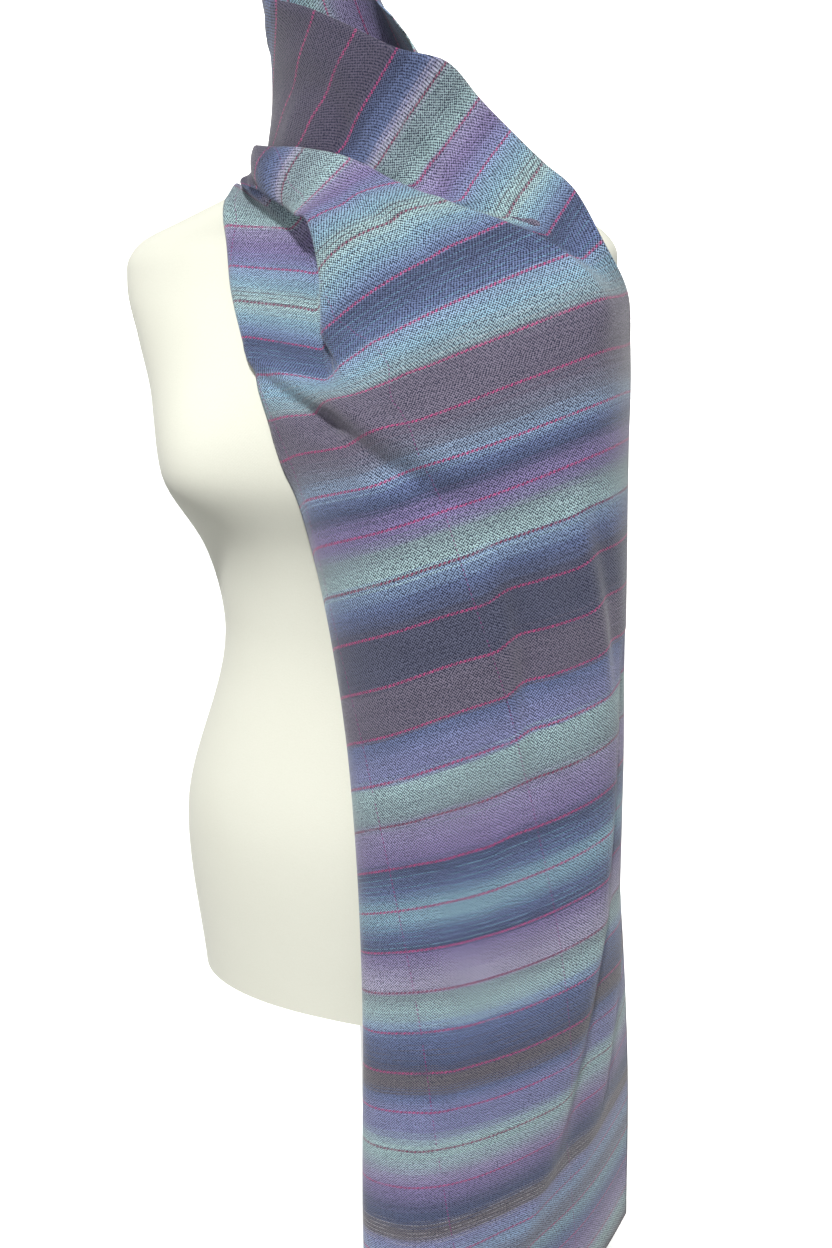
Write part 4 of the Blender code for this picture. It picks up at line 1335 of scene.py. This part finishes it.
    def under_roll(self, roll: tuple, part: np.ndarray, depth: np.ndarray) -> np.ndarray:
        """The points at a depth under the roll, a part of the way over it."""
        above = bend(*roll, part)
        return above - depth * self.facing(above)

    def stack(self) -> list[float]:
        """Where each column of the folded cloth lies in the stack of layers.

        Returns:
            0 for the lowest layer, 1 for the one that is turned back, 2 for the roll.
        """
        turn_back = [0, 0.5, 1, 1, 1, 1.5, 2]
        roll = [2] * (self.roll_steps - 1)
        flap = [0] * (self.flap_steps + 3)
        return [0] * (self.collar_steps + 2) + turn_back + roll + turn_back[::-1] + flap

    def laid(self, stripes: np.ndarray) -> tuple[np.ndarray, np.ndarray, np.ndarray]:
        """The cloth along its guide lines, with its folds and main creases.

        Args:
            stripes: The stripe of each row.

        Returns:
            The points, the height of each one's layer, and its place in the stack of layers.
        """
        line = ("x", "y", "z")
        neck, collar_foot, roll_top, middle, roll_foot, flap_top, left = (
            values_of(rows, "stripe", line, stripes)
            for rows in (NECK_EDGE, COLLAR_FOOT, ROLL_TOP, ROLL_MIDDLE, ROLL_FOOT, FLAP_TOP, LEFT_EDGE)
        )
        names = [part.name for part in fields(Fold)][1:]
        folds = np.maximum(values_of(FOLDS, "stripe", names, stripes), 0)
        collar_tuck, collar_rise, flap_tuck, flap_rise, turn_back = (
            folds[:, column : column + 1] for column in range(5)
        )
        face_top, face_foot = self.facing(roll_top), self.facing(roll_foot)
        under_top = roll_top - 2 * collar_rise * face_top
        under_foot = roll_foot - 2 * flap_rise * face_foot
        collar_foot = self.lowered(collar_foot, under_top, face_top, collar_rise)
        flap_top = self.lowered(flap_top, under_foot, face_foot, flap_rise)

        roll = (roll_top, middle, roll_foot)
        breadth = np.linalg.norm(roll_foot - roll_top, axis=1, keepdims=True)
        collar_tip = self.under_roll(roll, collar_tuck / breadth, 2 * collar_rise)
        collar_tip += (collar_foot - under_top) / 2
        flap_tip = self.under_roll(roll, 1 - flap_tuck / breadth, 2 * flap_rise)
        flap_tip += (flap_top - under_foot) / 2
        out_of_tuck = to_unit(under_top - collar_tip)
        into_flap = to_unit(flap_tip - under_foot)
        over_roll, off_roll = to_unit(middle - roll_top), to_unit(roll_foot - middle)
        into_tuck = to_unit(collar_tip - collar_foot)
        onto_flap = to_unit(flap_top - flap_tip)
        collar_room = np.linalg.norm(collar_tip - under_top, axis=1, keepdims=True)
        flap_room = np.linalg.norm(flap_tip - under_foot, axis=1, keepdims=True)
        across = to_unit(left - flap_top)
        left = left - self.selvedge * across

        points = self.straight(neck, collar_foot, self.collar_steps)
        tuck = self.hairpin(
            collar_tip, into_tuck, out_of_tuck, self.facing(collar_tip), 0 * collar_rise, collar_rise,
            collar_room,
        )
        edge = self.hairpin(
            under_top, out_of_tuck, over_roll, face_top, collar_rise, 2 * collar_rise, collar_room
        )
        points += [halfway(points[-1], tuck[0]), *tuck, halfway(tuck[-1], edge[0]), *edge]
        for step in range(1, self.roll_steps):
            part = step / self.roll_steps
            layer = 2 * (collar_rise + (flap_rise - collar_rise) * part)
            points.append((bend(*roll, part), layer))
        edge = self.hairpin(
            under_foot, off_roll, into_flap, face_foot, 2 * flap_rise, flap_rise, flap_room
        )
        tuck = self.hairpin(
            flap_tip, into_flap, onto_flap, self.facing(flap_tip), flap_rise, 0 * flap_rise, flap_room
        )
        flap = self.straight(flap_top, left, self.flap_steps)
        points += [*edge, halfway(edge[-1], tuck[0]), *tuck, halfway(tuck[-1], flap[0]), *flap]
        behind = to_unit(np.cross(np.gradient(left, axis=0), across))
        points.append((left + self.selvedge * across + turn_back * behind, 0 * turn_back))
        sheet = np.stack([point for point, _ in points], axis=1)
        layers = np.concatenate([layer for _, layer in points], axis=1)
        stack = np.zeros(layers.shape)
        stack[(layers > 0).any(axis=1)] = self.stack()
        return self.creased(self.rounded(sheet, stripes), stripes, CREASES), layers, stack

    def rounded(self, sheet: np.ndarray, stripes: np.ndarray) -> np.ndarray:
        """The sheet with the sections of the fall made smooth, where the folds have run out.

        Args:
            sheet: The points.
            stripes: The stripe of each row.

        Returns:
            The moved points.
        """
        span = self.rounded_fully - self.rounded_from
        share = np.clip((stripes - self.rounded_from) / span, 0, 1)[:, None, None]
        for _ in range(self.roundings):
            between = (sheet[:, :-2] + sheet[:, 2:]) / 2
            moved = sheet[:, 1:-1] + share * (between - sheet[:, 1:-1]) / 2
            sheet = np.concatenate([sheet[:, :1], moved, sheet[:, -1:]], axis=1)
        return sheet

    def normals(self, sheet: np.ndarray) -> np.ndarray:
        """The direction out of the sheet at each of its points."""
        return to_unit(np.cross(np.gradient(sheet, axis=1), np.gradient(sheet, axis=0)))

    def from_left(self, sheet: np.ndarray) -> np.ndarray:
        """The distance of each point from the left edge, over the cloth.

        Args:
            sheet: The points.

        Returns:
            The distances, a row for each row of the sheet.
        """
        steps = np.linalg.norm(np.diff(sheet, axis=1), axis=2)
        lengths = np.concatenate([np.zeros((len(sheet), 1)), np.cumsum(steps, axis=1)], axis=1)
        return lengths[:, -1:] - lengths

    def creased(self, sheet: np.ndarray, stripes: np.ndarray, creases: Sequence[Crease]) -> np.ndarray:
        """The sheet with soft ridges and troughs that fade at both ends.

        Args:
            sheet: The points.
            stripes: The stripe of each row.
            creases: The table of the creases.

        Returns:
            The moved points.
        """
        across = self.from_left(sheet)
        rise = np.zeros(across.shape)
        for crease in creases:
            strength, away = self.along(crease, across, stripes)
            rise += crease.rise * strength * np.exp(-(away**2))
        return sheet + rise[..., None] * self.normals(sheet)

    def along(
        self, line: Line, across: np.ndarray, stripes: np.ndarray
    ) -> tuple[np.ndarray, np.ndarray]:
        """Where the points lie beside a line.

        Args:
            line: The crease or jog.
            across: The distance of each point from the left edge.
            stripes: The stripe of each row.

        Returns:
            How strong the line is in each row, and how far each point lies from it in its widths.
        """
        part = (stripes - line.from_stripe) / (line.to_stripe - line.from_stripe)
        centre = line.from_across + (line.to_across - line.from_across) * part
        strength = np.sin(pi * np.clip(part, 0, 1)) ** self.fade
        return strength[:, None], (across - centre[:, None]) / line.width

    def jogged(self, across: np.ndarray, stripes: np.ndarray) -> np.ndarray:
        """How far the jogs push the weft along the cloth.

        Args:
            across: The distance of each point from the left edge.
            stripes: The stripe of each row.

        Returns:
            The push at each point, in metres.
        """
        pushed = np.zeros(across.shape)
        for jog in JOGS:
            strength, away = self.along(jog, across, stripes)
            pushed += jog.step * strength * np.tanh(away) * np.exp(-((away / self.jog_reach) ** 2))
        return pushed

    def hits(self, tree: BVHTree, start: Vector, facing: Vector) -> list[tuple[int, float]]:
        """Each face that a straight line through a point meets, with its height at the point.

        Args:
            tree: The cloth's faces.
            start: The point.
            facing: The way out of the form.

        Returns:
            Pairs of a face's number and its height over the point.
        """
        found = []
        at = self.reach
        while at > -self.reach:
            hit, _, face, distance = tree.ray_cast(start + facing * at, -facing, at + self.reach)
            if not hit:
                break
            at -= distance
            found.append((face, at))
            at -= self.probe
        return found

    def gap_over(self, stripe: float, column: float, level: float, other: tuple) -> tuple[float, float]:
        """How far below a point another face of the cloth is looked for, and the gap it is given.

        Args:
            stripe: The point's stripe.
            column: Its column.
            level: Its place in the stack.
            other: The same three of the face.

        Returns:
            The reach, which is nothing where the point doesn't lie over the face, and the gap.
        """
        face_stripe, face_column, face_level = other
        if abs(stripe - face_stripe) < self.same_turn:
            over = abs(column - face_column) > 1 and level - face_level > self.layer_apart
            return (self.fold_reach, self.clearance) if over else (0, 0)
        over = stripe > self.top_layer and face_stripe < self.underneath
        return (self.reach, self.cover) if over else (0, 0)

    def settled(
        self, sheet: np.ndarray, layers: np.ndarray, stack: np.ndarray, stripes: np.ndarray
    ) -> np.ndarray:
        """Lift the sheet clear of the form and of the layers of cloth that it lies over.

        Args:
            sheet: The points.
            layers: The height of each one's layer.
            stack: Its place in the stack.
            stripes: The stripe of each row.

        Returns:
            The moved points.
        """
        rows, columns = layers.shape
        faces = [
            (corner, corner + 1, corner + columns + 1, corner + columns)
            for row in range(rows - 1)
            for corner in range(row * columns, (row + 1) * columns - 1)
        ]
        level = stack.ravel()[np.array(faces)].max(axis=1)
        at_stripe = np.repeat(stripes, columns)[np.array(faces)].mean(axis=1)
        at_column = np.tile(np.arange(columns), rows)[np.array(faces)].mean(axis=1)
        for _ in range(self.passes):
            tree = BVHTree.FromPolygons(sheet.reshape(-1, 3).tolist(), faces)
            lift = np.zeros(layers.shape)
            facings = np.zeros(sheet.shape)
            for row in range(rows):
                for column in range(columns):
                    place = Vector(sheet[row, column])
                    height, facing = self.height(place)
                    missing = self.clearance + layers[row, column] - height
                    for face, at in self.hits(tree, place, facing):
                        other = (at_stripe[face], at_column[face], level[face])
                        reach, gap = self.gap_over(stripes[row], column, stack[row, column], other)
                        if -gap < at < reach:
                            missing = max(missing, at + gap)
                    lift[row, column] = max(0.0, missing)
                    facings[row, column] = facing
            for _ in range(self.blend):
                lift = self.softened(lift)
            sheet = sheet + lift[..., None] * facings
        return sheet

    def softened(self, field: np.ndarray) -> np.ndarray:
        """A field blurred once over the grid, and nowhere lower than it was.

        Args:
            field: A value for each point.

        Returns:
            The new values.
        """
        wide = np.pad(field, 1, mode="edge")
        rows = (wide[:-2] + 2 * wide[1:-1] + wide[2:]) / 4
        blurred = (rows[:, :-2] + 2 * rows[:, 1:-1] + rows[:, 2:]) / 4
        return np.maximum(field, blurred)

    def refined(self, sheet: np.ndarray) -> np.ndarray:
        """The sheet with more columns, on a smooth line through each row's points.

        Args:
            sheet: The points.

        Returns:
            The points with the new ones between them. The wide steps of the collar, the roll and the
            flap are cut finer than the short ones round the folds' edges.
        """
        edge = [self.edge_cuts] * self.edge_steps
        parts = [self.wide_cuts] * self.collar_steps + edge + [self.wide_cuts] * self.roll_steps + edge
        parts += [self.wide_cuts] * self.flap_steps + [self.edge_cuts]
        before_first = 2 * sheet[:, :1] - sheet[:, 1:2]
        after_last = 2 * sheet[:, -1:] - sheet[:, -2:-1]
        ends = np.concatenate([before_first, sheet, after_last], axis=1)
        gaps = np.sqrt(np.linalg.norm(np.diff(ends, axis=1), axis=2))[..., None] + TINY
        columns = []
        for column, count in enumerate(parts):
            before, start, end, after = (ends[:, column + offset] for offset in range(4))
            first, step, last = (gaps[:, column + offset] for offset in range(3))
            leave = (start - before) / first - (end - before) / (first + step) + (end - start) / step
            arrive = (end - start) / step - (after - start) / (step + last) + (after - end) / last
            for part in range(count):
                columns.append(cubic(start, end, leave * step, arrive * step, part / count))
        return np.stack([*columns, sheet[:, -1]], axis=1)

    def between_rows(self, sheet: np.ndarray, stripes: np.ndarray, wanted: np.ndarray) -> np.ndarray:
        """The sheet at other stripes, on a smooth line through each column's points.

        Args:
            sheet: The points.
            stripes: The stripe of each row, evenly spaced.
            wanted: The stripes of the new rows.

        Returns:
            The new points.
        """
        slopes = np.gradient(sheet, stripes, axis=0)
        span = np.clip(np.searchsorted(stripes, wanted, side="right") - 1, 0, len(stripes) - 2)
        width = stripes[1] - stripes[0]
        t = ((wanted - stripes[span]) / width)[:, None, None]
        return cubic(sheet[span], sheet[span + 1], slopes[span] * width, slopes[span + 1] * width, t)


@dataclass
class Scarf:
    """The scarf: one long woven cloth."""

    finish: WoolFinish = WoolFinish()
    wall: float = 0.0012
    width: float = 0.36
    length: float = 1.80

    def build(self, form: BVHTree) -> bpy.types.Object:
        """Make the cloth, its wall and its map.

        Args:
            form: The surface that the cloth lies on.

        Returns:
            The piece.
        """
        sheet, across, stripes = Drape(form).finished()
        rows, columns = across.shape
        shape = bmesh.new()
        bmesh.ops.create_grid(shape, x_segments=columns - 1, y_segments=rows - 1, size=0.5)
        layer = shape.loops.layers.uv.new(CLOTH_MAP)
        order = sorted(shape.verts, key=lambda vert: (round(vert.co.y, 6), round(vert.co.x, 6)))
        places = {}
        for index, vert in enumerate(order):
            row, column = divmod(index, columns)
            vert.co = sheet[row, column]
            places[vert] = (across[row, column], stripes[row, column] * STRIPE)
        for face in shape.faces:
            for loop in face.loops:
                loop[layer].uv = places[loop.vert]
        shape.normal_update()
        piece = as_object("scarf", shape, self.finish.material())
        piece.data.shade_smooth()
        wall = piece.modifiers.new("wall", "SOLIDIFY")
        wall.thickness = self.wall
        wall.offset = 0.0
        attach(piece, BODY)
        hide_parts("inner_end", "neck_turn", "chest_spread", "front_fall")
        return piece


# ---------------------------------------------------------------- the dress form and its stand

@dataclass
class DressForm:
    """The jersey-covered torso, smooth and whole under the scarf."""

    finish: JerseyFinish = JerseyFinish()
    sides: int = 144
    squareness: float = 2.3
    bust_spread: float = 0.088
    bust_height: float = 1.205
    bust_rise: float = 0.036
    bust_radius: float = 0.046
    bust_front: float = 0.06
    below_crown: float = 1.6
    above_crown: float = 0.7
    bust_drift: float = 0.25
    shoulder_foot: float = 1.355
    lower_rings: int = 78
    upper_rings: int = 39
    cap: tuple = ((0.006, 0.004), (0.008, 0.002))   # the neck's rounded top, by width and rise
    foot_rim: float = 0.004
    sharp_angle: float = 50.0           # in degrees, from which an edge stays sharp

    def build(self) -> bpy.types.Object:
        """Make the torso: a ring is drawn up step by step, and closed at the foot and the neck.

        Returns:
            The piece.
        """
        heights = np.concatenate(
            [
                np.linspace(FORM_RINGS[0].z, self.shoulder_foot, self.lower_rings),
                np.linspace(self.shoulder_foot, FORM_RINGS[-1].z, self.upper_rings)[1:],
            ]
        )
        shape = bmesh.new()
        bmesh.ops.create_circle(shape, segments=self.sides, radius=1.0)
        ring, edges = list(shape.verts), list(shape.edges)
        self.shape_ring(ring, heights[0])
        foot = shape.faces.new(self.in_order(ring))
        for height in heights[1:]:
            grown = bmesh.ops.extrude_edge_only(shape, edges=edges)["geom"]
            ring = [part for part in grown if isinstance(part, bmesh.types.BMVert)]
            edges = [part for part in grown if isinstance(part, bmesh.types.BMEdge)]
            self.shape_ring(ring, height)
        top = shape.faces.new(self.in_order(ring))
        for width, rise in self.cap:
            bmesh.ops.inset_region(shape, faces=[top], thickness=width, depth=rise)
        bmesh.ops.inset_region(shape, faces=[foot], thickness=self.foot_rim)
        bmesh.ops.recalc_face_normals(shape, faces=shape.faces)
        piece = as_object("dress_form", shape, self.finish.material())
        piece.data.shade_smooth()
        piece.data.set_sharp_from_angle(angle=radians(self.sharp_angle))
        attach(piece, BODY)
        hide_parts("form_torso")
        return piece

    def in_order(self, ring: Sequence[bmesh.types.BMVert]) -> list[bmesh.types.BMVert]:
        """The points of a ring by their angle round the form, from the +X side on."""
        step = pi / self.sides
        return sorted(ring, key=lambda vert: (np.arctan2(vert.co.y, vert.co.x) + step) % (2 * pi))

    def shape_ring(self, ring: Sequence[bmesh.types.BMVert], height: float) -> None:
        """Move a ring's points to the form's outline.

        Args:
            ring: The points.
            height: The height of the outline.
        """
        half_width, front, back = values_of(
            FORM_RINGS, "z", ("half_width", "front", "back"), np.array([height])
        )[0]
        power = 2 / self.squareness
        for number, vert in enumerate(self.in_order(ring)):
            angle = 2 * pi * number / self.sides
            across, along = cos(angle), sin(angle)
            x = half_width * abs(across) ** power * (1 if across >= 0 else -1)
            depth = back if along >= 0 else front
            y = depth * abs(along) ** power * (1 if along >= 0 else -1)
            vert.co = self.bust_point(x, y, height)

    def bust_point(self, x: float, y: float, z: float) -> tuple[float, float, float]:
        """A point of the plain outline, moved out where the bust rises.

        Args:
            x: Its place across the form.
            y: Its place from front to back.
            z: Its height.

        Returns:
            The moved point.
        """
        facing = min(1.0, max(0.0, -y / self.bust_front))
        steepness = self.below_crown if z < self.bust_height else self.above_crown
        moved = drift = 0.0
        for side in (-1, 1):
            away = (x - side * self.bust_spread) ** 2 + steepness * (z - self.bust_height) ** 2
            rise = self.bust_rise * np.exp(-away / (2 * self.bust_radius**2)) * facing
            moved += rise
            drift += side * self.bust_drift * rise
        return (x + drift, y - moved, z)


@dataclass
class Stand:
    """The flat round base, the pole and the socket under the form."""

    steel: SteelFinish = SteelFinish()
    paint: PaintFinish = PaintFinish()
    sides: int = 96
    edge: float = 0.0025                # the rounding of the base's and the socket's edges
    thin_edge: float = 0.0008
    rounding_steps: int = 3
    sharp_angle: float = 40.0           # in degrees, from which an edge stays sharp

    def build(self) -> list[bpy.types.Object]:
        """Make the three pieces, each in the place of its solid.

        Returns:
            The base, the pole and the socket.
        """
        steel, paint = self.steel.material(), self.paint.material()
        rows = (
            ("base", "stand_base", steel, "steel", self.edge),
            ("pole", "stand_pole", steel, "steel", self.thin_edge),
            ("socket", "stand_socket", paint, "painted_socket", self.edge),
        )
        return [self.turned(*row) for row in rows]

    def turned(
        self, name: str, node: str, material: bpy.types.Material, slot: str, edge: float
    ) -> bpy.types.Object:
        """Make a turned piece with rounded edges.

        Args:
            name: The piece's name.
            node: The solid that it stands for.
            material: Its material.
            slot: Not used.
            edge: The rounding of its edges.

        Returns:
            The piece.
        """
        low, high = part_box(node)
        shape = bmesh.new()
        bmesh.ops.create_cone(
            shape, cap_ends=True, segments=self.sides, radius1=high.x, radius2=high.x,
            depth=high.z - low.z, matrix=Matrix.Translation((0, 0, (low.z + high.z) / 2)),
        )
        rims = [part for part in shape.edges if abs(part.verts[0].co.z - part.verts[1].co.z) < edge]
        bmesh.ops.bevel(
            shape, geom=rims, offset=edge, offset_type="OFFSET", segments=self.rounding_steps,
            profile=0.5, affect="EDGES", material=-1,
        )
        bmesh.ops.recalc_face_normals(shape, faces=shape.faces)
        piece = as_object(name, shape, material)
        piece.data.shade_smooth()
        piece.data.set_sharp_from_angle(angle=radians(self.sharp_angle))
        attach(piece, BODY)
        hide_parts(node)
        return piece


# ---------------------------------------------------------------- the studio

@dataclass
class Studio:
    """A plain white floor and wall, a soft sky, a key light and the camera of the photograph's view."""

    azimuth: float = 26.0               # of the camera, from the form's front towards +X
    distance: float = 1.16              # from the form's axis
    eye: float = 1.365
    pitch: float = 14.4                 # downwards
    roll: float = 1.7
    picture: int = 1248                 # the picture's height, in pixels
    focal: int = 1458                   # in those pixels
    shift: int = 50                     # of the lens to the right, likewise
    sensor: float = 36.0                # the picture's height on the sensor, in millimetres
    floor_size: float = 60.0
    floor_glow: float = 0.55            # keeps the floor's shadows pale
    wall_glow: float = 1.0
    wall_sides: int = 64
    wall_radius: float = 25.0
    wall_height: float = 24.0           # half of it lies below the floor
    ground_light: float = 0.30          # the surround's light from below the horizon
    horizon_light: float = 0.80
    sky_light: float = 0.22
    sky_colour: tuple = (1.0, 1.0, 1.0, 1.0)
    horizon_low: float = -0.26          # the bright band's lower and upper edge, as a sine
    horizon_high: float = 0.20
    horizon_blend: float = 0.10
    key_azimuth: float = 15.0
    key_elevation: float = 51.0
    key_power: float = 3.5
    key_softness: float = 5.0           # the key light's apparent width, in degrees
    key_colour: tuple = (1.0, 0.995, 0.975)

    def build(self) -> None:
        """Make the floor, the wall, the sky, the key light and the camera."""
        self.make_floor()
        self.make_wall()
        self.make_sky()
        self.make_key()
        self.make_camera()

    def make_floor(self) -> None:
        """The floor."""
        shape = bmesh.new()
        bmesh.ops.create_grid(shape, x_segments=1, y_segments=1, size=self.floor_size / 2)
        self.put_up("floor", shape, self.floor_glow)

    def make_wall(self) -> None:
        """A round white wall, far behind."""
        shape = bmesh.new()
        bmesh.ops.create_cone(
            shape, cap_ends=False, segments=self.wall_sides, radius1=self.wall_radius,
            radius2=self.wall_radius, depth=self.wall_height,
        )
        self.put_up("wall", shape, self.wall_glow).visible_shadow = False

    def put_up(self, name: str, shape: bmesh.types.BMesh, glow: float) -> bpy.types.Object:
        """Make a piece of the studio, of paper that throws no light on the scarf.

        Args:
            name: The piece's name.
            shape: Its bmesh, which is freed.
            glow: How much it shines of itself.

        Returns:
            The piece.
        """
        piece = as_object(name, shape, PaperFinish(name + "_paper", glow).material())
        piece.visible_diffuse = False
        return piece

    def make_sky(self) -> None:
        """A surround that is brightest in a band round the horizon, as between light studio walls."""
        world = bpy.data.worlds.new("studio")
        bpy.context.scene.world = world
        world.use_nodes = True
        graph = Graph(world.node_tree)
        _, _, height = graph.split(graph.node("TexCoord", {}, {}, "Generated"))
        over_low = graph.smooth(height, self.horizon_low, self.horizon_low + self.horizon_blend)
        over_high = graph.smooth(height, self.horizon_high, self.horizon_high + self.horizon_blend)
        light = (
            self.ground_light
            + over_low * (self.horizon_light - self.ground_light)
            + over_high * (self.sky_light - self.horizon_light)
        )
        background = world.node_tree.nodes["Background"]
        graph.feed(background.inputs["Strength"], light)
        graph.feed(background.inputs["Color"], self.sky_colour)

    def make_key(self) -> None:
        """The key light, from the upper right."""
        lamp = bpy.data.lights.new("key", "SUN")
        lamp.energy = self.key_power
        lamp.angle = radians(self.key_softness)
        lamp.color = self.key_colour
        key = bpy.data.objects.new("key", lamp)
        key.rotation_euler = (radians(90 - self.key_elevation), 0.0, radians(self.key_azimuth))
        bpy.context.scene.collection.objects.link(key)

    def make_camera(self) -> None:
        """The camera, at the photograph's viewing angle."""
        azimuth, pitch, roll = radians(self.azimuth), radians(self.pitch), radians(self.roll)
        forward = Vector((-sin(azimuth) * cos(pitch), cos(azimuth) * cos(pitch), -sin(pitch)))
        level = Vector((cos(azimuth), sin(azimuth), 0.0))
        upright = level.cross(forward)
        right = level * cos(roll) - upright * sin(roll)
        above = upright * cos(roll) + level * sin(roll)
        turned = Matrix((right, above, -forward)).transposed().to_4x4()
        place = Vector((sin(azimuth), -cos(azimuth), 0.0)) * self.distance
        lens = bpy.data.cameras.new("camera")
        lens.sensor_width = self.sensor
        lens.lens = self.focal / self.picture * self.sensor
        lens.shift_x = self.shift / self.picture
        camera = bpy.data.objects.new("camera", lens)
        camera.matrix_world = Matrix.Translation((place.x, place.y, self.eye)) @ turned
        bpy.context.scene.collection.objects.link(camera)
        bpy.context.scene.camera = camera


def surface_of(node: str) -> BVHTree:
    """The surface of a solid of the frame, to lay cloth on.

    Args:
        node: The solid's name.

    Returns:
        The surface.
    """
    shape = bmesh.new()
    shape.from_mesh(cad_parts[node].data)
    tree = BVHTree.FromBMesh(shape)
    shape.free()
    return tree


def main() -> None:
    """Build the pieces in order and report each."""
    logging.basicConfig(level=logging.INFO, format="%(name)s: %(message)s")
    bpy.context.scene.view_settings.view_transform = "Standard"
    form = DressForm().build()
    scarf = Scarf().build(surface_of("form_torso"))
    for piece in (form, scarf, *Stand().build()):
        log.info("%s: %d faces", piece.name, len(piece.data.polygons))
    Studio().build()


if __name__ == "__main__":
    main()
